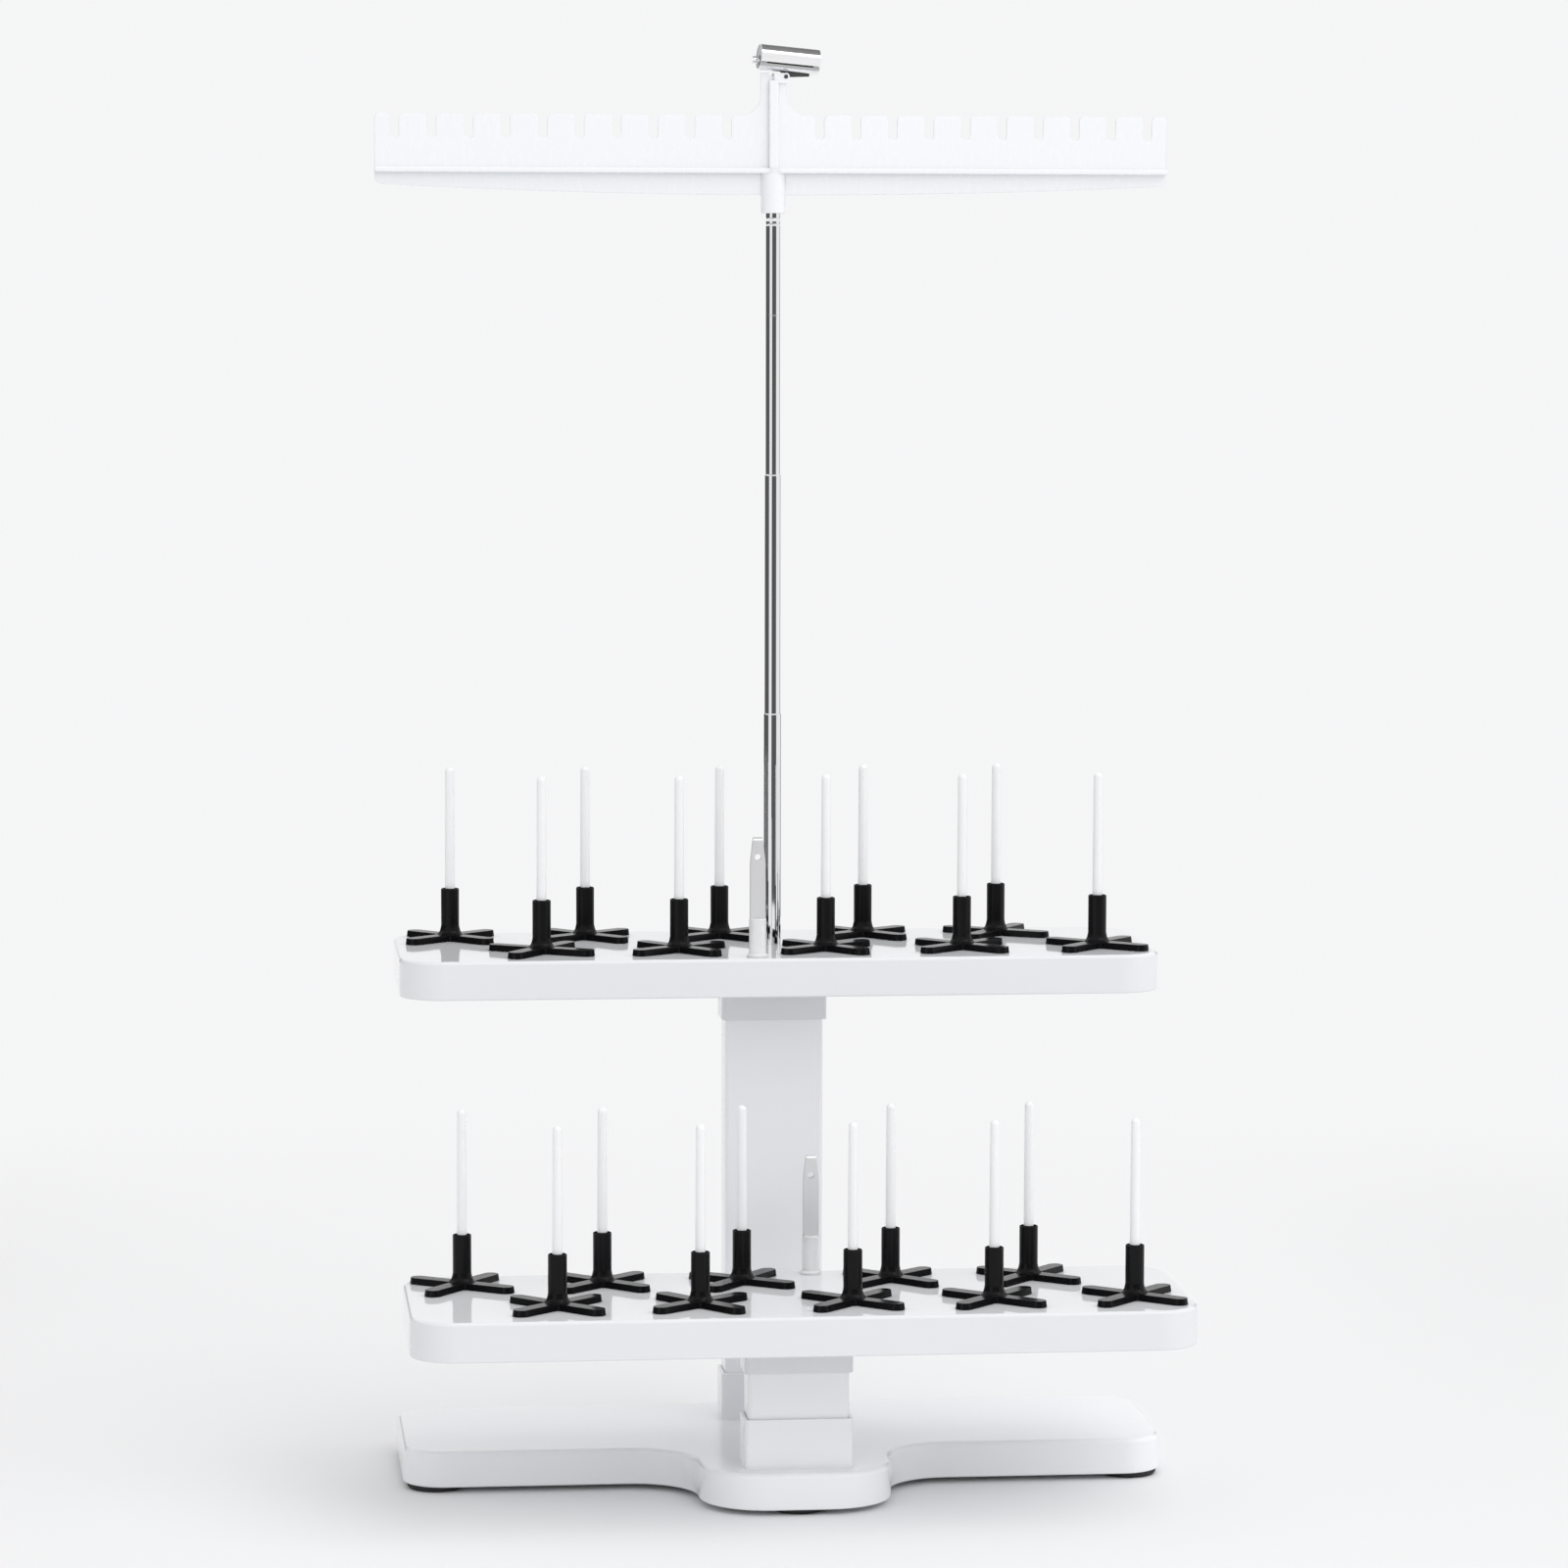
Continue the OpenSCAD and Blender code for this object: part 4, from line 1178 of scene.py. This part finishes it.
@dataclass
class Pole:
    """Telescopic pole of three chromed tubes."""

    wall: float = 0.35
    foot_edge: Point = (0.1, 0.15)
    # Distance inside the tube's wall and below its top of the points of the crimp
    crimp: tuple[Point, ...] = ((0, 1.1), (0.08, 0.44), (0.22, 0.06))
    lip: Point = (0.04, 0.1)
    groove_depth: float = 0.3
    groove_width: float = 1.6
    groove_drops: tuple[float, ...] = (6.1, 2.9)
    steps: int = 64

    def tube(self, node: str, body: str, grooves: Sequence[float] = ()) -> None:
        """Build a tube with a crimped upper end.

        Args:
            node: The tube's node.
            body: The body that it rides on.
            grooves: Heights of its ring grooves, from the floor and rising.
        """
        low, high = node_box(node)
        middle = (low + high) / 2
        radius, length = (high.x - low.x) / 2, high.z - low.z
        inner = radius - self.wall
        profile = [(inner, 0), (radius - self.foot_edge[0], 0), (radius, self.foot_edge[1])]
        for height in grooves:
            base, half = height - low.z, self.groove_width / 2
            profile += [(radius, base - half), (radius - self.groove_depth, base), (radius, base + half)]
        profile += [(radius - inside, length - drop) for inside, drop in self.crimp]
        profile += [(inner + self.lip[0], length), (inner, length - self.lip[1])]
        tube = Shape.lathe(profile, (middle.x, middle.y, low.z), self.steps)
        tube.finish(f"{node}_piece", body, CHROME, [node])

    def build(self) -> None:
        """Build the three tubes."""
        socket = node_box("guide_bar")[0].z
        self.tube("pole_lower_tube", "stand")
        self.tube("pole_middle_tube", "middle_pole")
        self.tube("pole_upper_tube", "upper_pole", [socket - drop for drop in self.groove_drops])


@dataclass
class GuideHinge:
    """Hinge at the top of the bar's neck, on which the guide tube tilts."""

    boss_radius: float = 2.1
    lug: float = 2.8
    gap: float = 0.3
    ear: float = 1.9
    ear_drop: float = 3.5
    ear_back: float = 6.4
    ear_rise: float = 1.9
    ear_round: float = 0.25
    # Share of the boss's radius by which the ear's upper corner is round
    boss_share: float = 0.98
    boss_steps: int = 8
    tilt: float = 5
    offset: float = 1.3
    lift: float = 2.4
    tube_radius: float = 7.1

    def place(self) -> Matrix:
        """Find the hinge's frame: its axis is Y and its X points along the guide tube at level.

        Returns:
            The frame.
        """
        joint = next(j for j in frame["joints"] if j["name"] == "guide_tube_tilt")
        axis = Vector(joint["axis"])
        turn = math.atan2(-axis.x, axis.y)
        return Matrix.Translation(Vector(joint["pos_m"]) / MM) @ Matrix.Rotation(turn, 4, "Z")

    def tube_place(self) -> Matrix:
        """Find the guide tube's frame: its axis is X."""
        tilted = self.place() @ Matrix.Rotation(math.radians(self.tilt), 4, "Y")
        return tilted @ Matrix.Translation((self.offset, 0, self.lift + self.tube_radius))


@dataclass
class GuideBar:
    """White bar with slots for the threads, on top of the pole."""

    slot_pitch: float = 20.1
    first_slot: float = 25.4
    slots_per_side: int = 10
    slot_width: float = 5
    slot_depth: float = 12.8
    slot_round: float = 1.8
    tooth_round: float = 2.4
    tooth_height: float = 28.7
    thickness: float = 2.5
    ledge_depth: float = 5
    ledge_thickness: float = 2.8
    fin_middle: float = 11.7
    fin_end: float = 6.2
    fin_thickness: float = 2
    fin_round: float = 4
    socket_radius: float = 6.6
    socket_height: float = 21.6
    socket_bore: float = 3.95
    socket_bore_depth: float = 20.05
    neck_half: float = 7
    neck_height: float = 21.4
    neck_round: float = 11
    rib_width: float = 4.8
    rib_depth: float = 3.5
    rib_drop: float = 2.4
    tab_width: float = 4.4
    tab_height: float = 1.6
    notch: Point = (3.6, 3.0)
    edge_round: float = 0.6
    rib_round: float = 0.7
    tooth_steps: int = 6
    slot_steps: int = 5
    neck_steps: int = 10
    fin_steps: int = 24
    socket_steps: int = 64
    # Distance inside the socket's wall, and height or drop, of the points of its lower and upper edge
    socket_foot: tuple[Point, ...] = ((0.5, 0), (0.14, 0.14), (0, 0.5))
    socket_top: tuple[Point, ...] = ((0, 0.8), (0.25, 0.2), (0.8, 0.01))

    def __post_init__(self) -> None:
        """Take the bar's place from its node."""
        low, high = node_box("guide_bar")
        self.half_length = high.x
        self.socket_z = low.z
        self.ledge_z = low.z + self.socket_height
        self.comb_z = self.ledge_z + self.ledge_thickness
        self.teeth_z = self.comb_z + self.tooth_height
        self.neck_z = self.teeth_z + self.neck_height
        self.pole_y = sum(c.y for c in node_box("pole_lower_tube")) / 2

    def slots(self) -> list[float]:
        """List the X places of the slots from left to right."""
        right = [self.first_slot + i * self.slot_pitch for i in range(self.slots_per_side)]
        return [-x for x in reversed(right)] + right

    def comb(self) -> Shape:
        """Model the toothed plate with the neck.

        Returns:
            The plate, upright, with its middle plane at Y 0.
        """
        half, floor = self.slot_width / 2, self.teeth_z - self.slot_depth
        end, neck, tab = self.half_length, self.neck_half, self.neck_z + self.tab_height
        notch_x, notch_z = neck - self.notch[0], self.neck_z - self.notch[1]
        top = [(-neck, self.teeth_z), (-neck, tab), (self.tab_width - neck, tab), (self.tab_width - neck, self.neck_z),
               (notch_x, self.neck_z), (notch_x, notch_z), (neck, notch_z), (neck, self.teeth_z)]
        teeth, floors = [], []
        for x in self.slots():
            teeth += [(x - half, self.teeth_z), (x + half, self.teeth_z)]
            floors += [(x - half, floor), (x + half, floor)]
        walls = [point for i in range(0, len(teeth), 2) for point in (teeth[i], floors[i], floors[i + 1], teeth[i + 1])]
        middle, foot = len(walls) // 2, self.comb_z - OVER
        outline = [(-end, foot), (-end, self.teeth_z), *walls[:middle], *top, *walls[middle:],
                   (end, self.teeth_z), (end, foot)]
        plate = Shape.slab(outline, -self.thickness / 2, self.thickness / 2)
        plate.soften_at([*teeth, (-end, self.teeth_z), (end, self.teeth_z)], self.tooth_round, self.tooth_steps)
        plate.soften_at(floors, self.slot_round, self.slot_steps)
        plate.soften_at([top[0], top[-1]], self.neck_round, self.neck_steps)
        return self.stand_up(plate)

    def stand_up(self, plate: Shape) -> Shape:
        """Soften a flat plate's outline on both sides and stand it up, with its Y as its height.

        Args:
            plate: The plate, lying flat.

        Returns:
            The same plate, upright.
        """
        plate.bm.normal_update()
        heights = [v.co.z for v in plate.bm.verts]
        for height in (min(heights), max(heights)):
            plate.soften(Shape.rim(height), self.edge_round, THIN)
        return plate.rotate("X", 90)

    def fin(self) -> Shape:
        """Model the fin under the ledge, deepest at the pole.

        Returns:
            The fin, upright, with its middle plane at Y 0.
        """
        end, roof = self.half_length, self.ledge_z + OVER
        lower = []
        for i in range(self.fin_steps + 1):
            x = end * (2 * i / self.fin_steps - 1)
            drop = self.fin_end + (self.fin_middle - self.fin_end) * (1 - (x / end) ** 2)
            lower.append((x, self.ledge_z - drop))
        plate = Shape.slab([(end, roof), (-end, roof), *lower], -self.fin_thickness / 2, self.fin_thickness / 2)
        plate.soften_at([lower[0], lower[-1]], self.fin_round)
        return self.stand_up(plate)

    def build(self) -> None:
        """Build the bar: comb, neck, fin, ledge, rib, socket and ears."""
        front, back = -self.thickness / 2 - self.ledge_depth, self.thickness / 2
        ledge = Shape.block((-self.half_length, front, self.ledge_z), (self.half_length, back, self.comb_z))
        ledge.soften(lambda edge: True, self.edge_round)
        rib = Shape.block((-self.rib_width / 2, -self.thickness / 2 - self.rib_depth, self.comb_z - OVER),
                          (self.rib_width / 2, 0, self.neck_z - self.rib_drop))
        rib.soften(lambda edge: min(v.co.y for v in edge.verts) < -self.thickness / 2, self.rib_round)
        bar = self.comb()
        bar.add(self.fin(), ledge, rib, self.socket())
        bar.move((0, self.pole_y, 0))
        bar.add(*[self.ear(side) for side in (-1, 1)])
        bar.finish("guide_bar_piece", "thread_guide_bar", WHITE_BAR, ["guide_bar"])

    def socket(self) -> Shape:
        """Model the socket that takes the pole's upper tube.

        Returns:
            The socket, on the Z axis.
        """
        radius, length = self.socket_radius, self.socket_height + self.ledge_thickness
        profile = [(0, self.socket_bore_depth), (self.socket_bore, self.socket_bore_depth), (self.socket_bore, 0)]
        profile += [(radius - inside, up) for inside, up in self.socket_foot]
        profile += [(radius - inside, length - drop) for inside, drop in self.socket_top]
        profile.append((0, profile[-1][1]))
        return Shape.lathe(profile, (0, 0, self.socket_z), self.socket_steps)

    def ear(self, side: int) -> Shape:
        """Model one of the two ears that hold the guide tube's hinge pin.

        Args:
            side: -1 for the front one and 1 for the back one.

        Returns:
            The ear in its place.
        """
        hinge = GuideHinge()
        r = hinge.boss_radius
        outline = [(-hinge.ear_back, -hinge.ear_drop), (r, -hinge.ear_drop), (r, r), (0, r), (0, hinge.ear_rise),
                   (-hinge.ear_back, hinge.ear_rise)]
        near = hinge.lug / 2 + hinge.gap
        ear = Shape.slab(outline, near, near + hinge.ear)
        ear.soften_at([(r, r)], r * hinge.boss_share, hinge.boss_steps)
        for height in (near, near + hinge.ear):
            ear.soften(Shape.rim(height), hinge.ear_round, THIN)
        ear.rotate("X", 90)
        if side > 0:
            ear.rotate("Z", 180).turn(Matrix.Scale(-1, 4, (1, 0, 0)))
            bmesh.ops.recalc_face_normals(ear.bm, faces=ear.bm.faces)
        return ear.turn(hinge.place())


@dataclass
class GuideTube:
    """Slit metal tube with its forked rod."""

    length: float = 33
    wall: float = 0.6
    slit_width: float = 1
    slit_angle: float = -25
    steps: int = 72
    rod_radius: float = 1.95
    rod_out: float = 3.5
    rod_slot: float = 1.2
    rod_drop: float = 2
    rod_round: float = 0.3
    rod_steps: int = 32
    hinge: GuideHinge = field(default_factory=GuideHinge)

    def along_x(self, shape: Shape) -> Shape:
        """Lay an upright turned shape along the guide tube's axis."""
        return shape.rotate("Y", 90).turn(self.hinge.tube_place())

    def tube(self) -> Shape:
        """Model the tube as a strip rolled up to its slit.

        Returns:
            The tube, upright at the origin.
        """
        outer = self.hinge.tube_radius
        inner, half = outer - self.wall, self.length / 2
        shape = Shape()
        bm = shape.bm
        corners = [bm.verts.new((r, 0, z)) for r, z in ((inner, -half), (outer, -half), (outer, half), (inner, half))]
        face = bm.faces.new(corners)
        gap = self.slit_width / outer
        bmesh.ops.spin(bm, geom=[face, *face.edges, *corners], cent=(0, 0, 0), axis=UP, angle=math.tau - gap,
                       steps=self.steps)
        bmesh.ops.remove_doubles(bm, verts=bm.verts, dist=TINY)
        bmesh.ops.recalc_face_normals(bm, faces=bm.faces)
        shape.turn(Matrix.Rotation(gap / 2 + math.pi + math.radians(90 - self.slit_angle), 4, "Z"))
        return shape

    def build(self) -> None:
        """Build the tube and its rod."""
        tube = self.tube()
        self.along_x(tube).finish("guide_tube_piece", "guide_tube_unit", GUIDE_METAL, ["guide_tube"])
        low = -self.length / 2 - self.rod_out
        r, high, edge = self.rod_radius, self.length / 2, self.rod_round
        profile = [(0, low), (r - edge, low), (r, low + edge), (r, high - edge), (r - edge, high), (0, high)]
        half, reach = self.rod_slot / 2, r + OVER
        slot = Shape.block((-half, -reach, low - OVER), (half, reach, low + self.rod_out))
        rod = cut(Shape.lathe(profile, steps=self.rod_steps), slot)
        rod.move((self.rod_drop, 0, 0))
        self.along_x(rod).finish("guide_rod_piece", "guide_tube_unit", GUIDE_METAL, ["guide_tube_rod"])


@dataclass
class EyeletPost:
    """Folded metal strip with an eye near its top, in a cloudy plastic foot."""

    level: Level
    strip_width: float = 8.2
    tip_width: float = 5
    strip: float = 0.8
    depth: float = 4.4
    taper: float = 14
    hole_radius: float = 1.8
    hole_drop: float = 10.8
    seat: float = 4
    foot_radius: float = 4.7
    foot_flare: float = 1.1
    foot_flare_height: float = 1.6
    flare_round: float = 0.3
    foot_round: float = 0.5
    # Distance outside the foot's wall and height above the flare of the points between them
    waist: tuple[Point, ...] = ((0.3, 0.2), (0, 0.8))
    foot_steps: int = 48
    hole_steps: int = 32
    fold_steps: int = 10
    gap: float = 0.02
    peg_radius: float = 2

    def build(self) -> None:
        """Build the strip and its foot."""
        name = self.level.value
        low, high = node_box(f"{name}_eyelet_strip")
        foot_low, foot_high = node_box(f"{name}_eyelet_foot")
        middle = (foot_low + foot_high) / 2
        tray_top = node_box(f"{name}_tray_shell")[1].z
        strip = self.fold(low.z, high.z)
        strip.move((middle.x, middle.y, 0))
        strip.finish(f"{name}_eyelet_strip_piece", "stand", STRIP_METAL, [f"{name}_eyelet_strip"])
        r, top = self.foot_radius, foot_high.z - tray_top
        flare, flare_top = r + self.foot_flare, self.foot_flare_height
        peg_low, edge = foot_low.z - tray_top, self.foot_round
        profile = [(0, peg_low), (self.peg_radius, peg_low), (self.peg_radius, self.gap),
                   (flare - self.flare_round, self.gap), (flare, self.flare_round), (flare, flare_top - edge),
                   (flare - edge, flare_top), *((r + out, flare_top + up) for out, up in self.waist),
                   (r, top - edge), (r - edge, top), (0, top)]
        half_w, half_d = self.strip_width / 2 + self.gap, self.depth / 2 + self.gap
        seat = Shape.block((-half_w, -half_d, top - self.seat), (half_w, half_d, top + OVER))
        foot = cut(Shape.lathe(profile, steps=self.foot_steps), seat)
        foot.move((middle.x, middle.y, tray_top))
        foot.finish(f"{name}_eyelet_foot_piece", "stand", CLEAR, [f"{name}_eyelet_foot"])

    def fold(self, low: float, high: float) -> Shape:
        """Model the strip: up the front, round the fold and down the back, with its hole.

        Args:
            low: Height of its lower ends.
            high: Height of the fold.

        Returns:
            The strip, centred on the Z axis.
        """
        half_w, half_d = self.strip_width / 2, self.depth / 2
        bend = high - half_d
        shape = Shape.block((-half_w, -half_d, low), (half_w, self.strip - half_d, bend))
        bm = shape.bm
        top = shape.level_faces(bend)[0]
        spun = bmesh.ops.spin(bm, geom=[top, *top.edges, *top.verts], cent=(0, 0, bend), axis=(-1, 0, 0),
                              angle=math.pi, steps=self.fold_steps)["geom_last"]
        if top.is_valid:
            bmesh.ops.delete(bm, geom=[top], context="FACES_ONLY")
        raise_faces(bm, faces_in(spun), low - bend)
        bmesh.ops.remove_doubles(bm, verts=bm.verts, dist=TINY)
        shoulder = high - self.taper
        bmesh.ops.bisect_plane(bm, geom=[*bm.verts, *bm.edges, *bm.faces], plane_co=(0, 0, shoulder), plane_no=UP)
        for vertex in bm.verts:
            share = max(0, (vertex.co.z - shoulder) / self.taper)
            vertex.co.x *= 1 - share * (1 - self.tip_width / self.strip_width)
        bmesh.ops.recalc_face_normals(bm, faces=bm.faces)
        drill = Shape.lathe([(0, -self.depth), (self.hole_radius, -self.depth), (self.hole_radius, self.depth),
                             (0, self.depth)], steps=self.hole_steps)
        drill.rotate("X", 90).move((0, 0, high - self.hole_drop))
        return cut(shape, drill)


@dataclass(frozen=True)
class SoftSun:
    """Wide soft light that falls evenly on the whole rack."""

    name: str
    comes_from: Triple
    strength: float
    spread: float

    def build(self) -> None:
        """Hang the light."""
        data = bpy.data.lights.new(self.name, "SUN")
        data.energy = self.strength
        data.angle = math.radians(self.spread)
        lamp = show(self.name, data)
        lamp.rotation_euler = Vector(self.comes_from).to_track_quat("Z", "Y").to_euler()


@dataclass(frozen=True)
class Softbox:
    """Square soft light beside the camera."""

    name: str
    place: Triple
    aim: Triple
    size: float
    power: float

    def build(self) -> None:
        """Hang the light and aim it."""
        data = bpy.data.lights.new(self.name, "AREA")
        data.energy = self.power
        data.size = self.size
        lamp = show(self.name, data)
        lamp.location = self.place
        lamp.rotation_euler = (Vector(self.place) - Vector(self.aim)).to_track_quat("Z", "Y").to_euler()
        lamp.visible_glossy = False


def hang(bm: bmesh.types.BMesh, name: str, level: float) -> None:
    """Hang a panel that glows evenly and that only reflections see.

    Args:
        bm: The panel's mesh, which is used up.
        name: Its name.
        level: Its brightness.
    """
    mesh = to_mesh(bm, name)
    sheet = NodeSheet(name)
    glow = sheet.add("ShaderNodeEmission")
    glow.inputs["Color"].default_value = (level, level, level, 1)
    sheet.join(glow.outputs[0], sheet.tree.nodes["Material Output"].inputs["Surface"])
    mesh.materials.append(sheet.made)
    panel = show(name, mesh)
    panel.visible_camera = panel.visible_diffuse = panel.visible_transmission = panel.visible_shadow = False


@dataclass(frozen=True)
class Flag:
    """Curved panel that only reflections see: the dark and grey parts of the studio."""

    name: str
    start: float
    end: float
    level: float
    foot: float = 0.12
    head: float = 0.74
    radius: float = 1.7
    steps: int = 24

    def build(self) -> None:
        """Bend the panel round the rack. Its angles run from the front to the right, in degrees."""
        bm = bmesh.new()
        foot, head = (bm.verts.new((0, -self.radius, height)) for height in (self.foot, self.head))
        edge = bm.edges.new((foot, head))
        bmesh.ops.rotate(bm, verts=bm.verts, matrix=Matrix.Rotation(math.radians(self.start), 3, "Z"))
        bmesh.ops.spin(bm, geom=[foot, head, edge], cent=(0, 0, 0), axis=UP,
                       angle=math.radians(self.end - self.start), steps=self.steps)
        hang(bm, self.name, self.level)


@dataclass(frozen=True)
class Card:
    """Flat panel that only reflections see."""

    name: str
    place: Triple
    size: Span
    level: float
    angles: Triple = (0, 0, 0)

    def build(self) -> None:
        """Set the panel up, level where no angles are given."""
        bm = bmesh.new()
        turn = Euler([math.radians(angle) for angle in self.angles], "XYZ")
        matrix = Matrix.LocRotScale(Vector(self.place), turn, Vector((*self.size, 1)))
        bmesh.ops.create_grid(bm, x_segments=1, y_segments=1, size=0.5, matrix=matrix)
        hang(bm, self.name, self.level)


@dataclass
class Studio:
    """Pale floor and background, soft lights and the camera at the photo's place."""

    camera_place: Triple = (-0.30834, -2.92677, 0.63208)
    camera_angles: Triple = (85.107, -0.087, -6.0)
    lens: float = 125.84
    sensor: float = 36.0

    sun: SoftSun = SoftSun("Overhead light", (0.5, -0.3, 1), 0.87, 55)
    softbox: Softbox = Softbox("Front light", (0.8, -2.0, 1.7), (0, 0, 0.4), 1.2, 8.8)
    flags: tuple[Flag | Card, ...] = (
        Flag("Left flag", -166, -61, 0.1),
        Flag("Front flag", -19, 51, 0.1),
        Flag("Right rear flag", 132, 157, 0.1),
        Card("Ceiling card", (0, 0.925, 2.6), (4, 3.35), 0.2),
        Card("Bright tube card", (0.057, -0.055, 0.742), (0.09, 0.052), 0.93, (90, 0, 22)),
        Card("Grey tube card", (0, -0.03, 0.632), (0.24, 0.16), 0.5),
    )
    ambient: float = 0.82
    background: Colour = (0.915, 0.917, 0.925)
    floor_colour: Colour = (0.85, 0.852, 0.86)
    floor_roughness: float = 0.6
    floor_half: float = 40
    lit_radius: float = 0.75
    faded_radius: float = 1.5

    def build(self) -> None:
        """Build the studio."""
        self.build_camera()
        self.build_world()
        self.build_floor()
        self.sun.build()
        self.softbox.build()
        for flag in self.flags:
            flag.build()
        bpy.context.scene.view_settings.view_transform = "Standard"

    def build_world(self) -> None:
        """Light the rack evenly, and show a pale background to the camera and in reflections."""
        world = bpy.data.worlds.new("Studio")
        world.use_nodes = True
        tree = world.node_tree
        light = tree.nodes["Background"]
        light.inputs["Color"].default_value = (1, 1, 1, 1)
        light.inputs["Strength"].default_value = self.ambient
        seen = tree.nodes.new("ShaderNodeBackground")
        seen.inputs["Color"].default_value = (*self.background, 1)
        rays = tree.nodes.new("ShaderNodeLightPath")
        mix = tree.nodes.new("ShaderNodeMixShader")
        either = rays.outputs["Is Camera Ray"]
        for kind in ("Is Glossy Ray", "Is Transmission Ray"):
            larger = tree.nodes.new("ShaderNodeMath")
            larger.operation = "MAXIMUM"
            tree.links.new(either, larger.inputs[0])
            tree.links.new(rays.outputs[kind], larger.inputs[1])
            either = larger.outputs[0]
        tree.links.new(either, mix.inputs[0])
        tree.links.new(light.outputs[0], mix.inputs[1])
        tree.links.new(seen.outputs[0], mix.inputs[2])
        tree.links.new(mix.outputs[0], tree.nodes["World Output"].inputs["Surface"])
        bpy.context.scene.world = world

    def build_floor(self) -> None:
        """Lay the pale floor, which fades into the background away from the rack."""
        bm = bmesh.new()
        bmesh.ops.create_grid(bm, x_segments=1, y_segments=1, size=self.floor_half)
        mesh = to_mesh(bm, "Floor")
        sheet = NodeSheet("Studio floor")
        sheet.set({"Base Color": (*self.floor_colour, 1), "Roughness": self.floor_roughness})
        far = sheet.add("ShaderNodeEmission")
        far.inputs["Color"].default_value = (*self.background, 1)
        distance = sheet.add("ShaderNodeVectorMath", operation="LENGTH")
        sheet.join(sheet.place, distance.inputs[0])
        fade = sheet.add("ShaderNodeMapRange", interpolation_type="SMOOTHSTEP")
        fade.inputs["From Min"].default_value = self.lit_radius
        fade.inputs["From Max"].default_value = self.faded_radius
        sheet.join(distance.outputs["Value"], fade.inputs["Value"])
        mix = sheet.add("ShaderNodeMixShader")
        sheet.join(fade.outputs["Result"], mix.inputs[0])
        sheet.join(sheet.shader.outputs[0], mix.inputs[1])
        sheet.join(far.outputs[0], mix.inputs[2])
        sheet.join(mix.outputs[0], sheet.tree.nodes["Material Output"].inputs["Surface"])
        mesh.materials.append(sheet.made)
        show("Floor", mesh)

    def build_camera(self) -> None:
        """Place the camera."""
        data = bpy.data.cameras.new("Camera")
        data.lens = self.lens
        data.sensor_width = self.sensor
        camera = show("Camera", data)
        camera.location = self.camera_place
        camera.rotation_euler = Euler([math.radians(angle) for angle in self.camera_angles], "XYZ")
        bpy.context.scene.camera = camera


# Turns of the holders in degrees, from left to right, back and front in turn
UPPER_TURNS = (42, 57, 40, 37, 40, 38, 39, 42, 57, 49)
LOWER_TURNS = (54, 44, 45, 38, 54, 48, 43, 48, 50, 48)

SCREW_GROUPS = {
    "base_cover_screws": "base_screw_heads",
    "lower_tray_screws": "lower_tray_screw_heads",
    "upper_tray_screws": "upper_tray_screw_heads",
    "post_screws": "post_screw_heads",
}
KEPT_NODES = {
    # The posts take the lighter copy of the white plastic, which paints light into their colour against the shade under
    # the trays
    WHITE_POST_LIT: ("front_post", "rear_post"),
    GREY_PLUG: ("pole_base_plug", "pole_middle_plug", "pole_upper_plug", "guide_saddle", "guide_hinge_pin"),
    LIGHT_BUSH: ("guide_tube_bushes",),
    SCREW_STEEL: ("pole_base_screw",),
}


def dress(nodes: Sequence[str], finish: Finish) -> None:
    """Give nodes of the frame a finish.

    Args:
        nodes: The nodes' names.
        finish: Their finish.
    """
    for node in nodes:
        piece = frame["nodes"][node]
        piece.data.materials.clear()
        piece.data.materials.append(finish.material())
        log.info("%s: %s", node, finish.name)


def main() -> None:
    """Build the rack and its studio."""
    logging.basicConfig(level=logging.INFO, format="%(message)s")
    Base().build()
    Tray(Level.LOWER, "front_post").build()
    Tray(Level.UPPER, "rear_post").build()
    HolderSet(Level.UPPER, UPPER_TURNS).build()
    HolderSet(Level.LOWER, LOWER_TURNS).build()
    Pole().build()
    GuideBar().build()
    GuideTube().build()
    for level in Level:
        EyeletPost(level).build()
    for node, name in SCREW_GROUPS.items():
        Screws(node, name).build()
    for finish, nodes in KEPT_NODES.items():
        dress(nodes, finish)
    Studio().build()


if __name__ == "__main__":
    main()
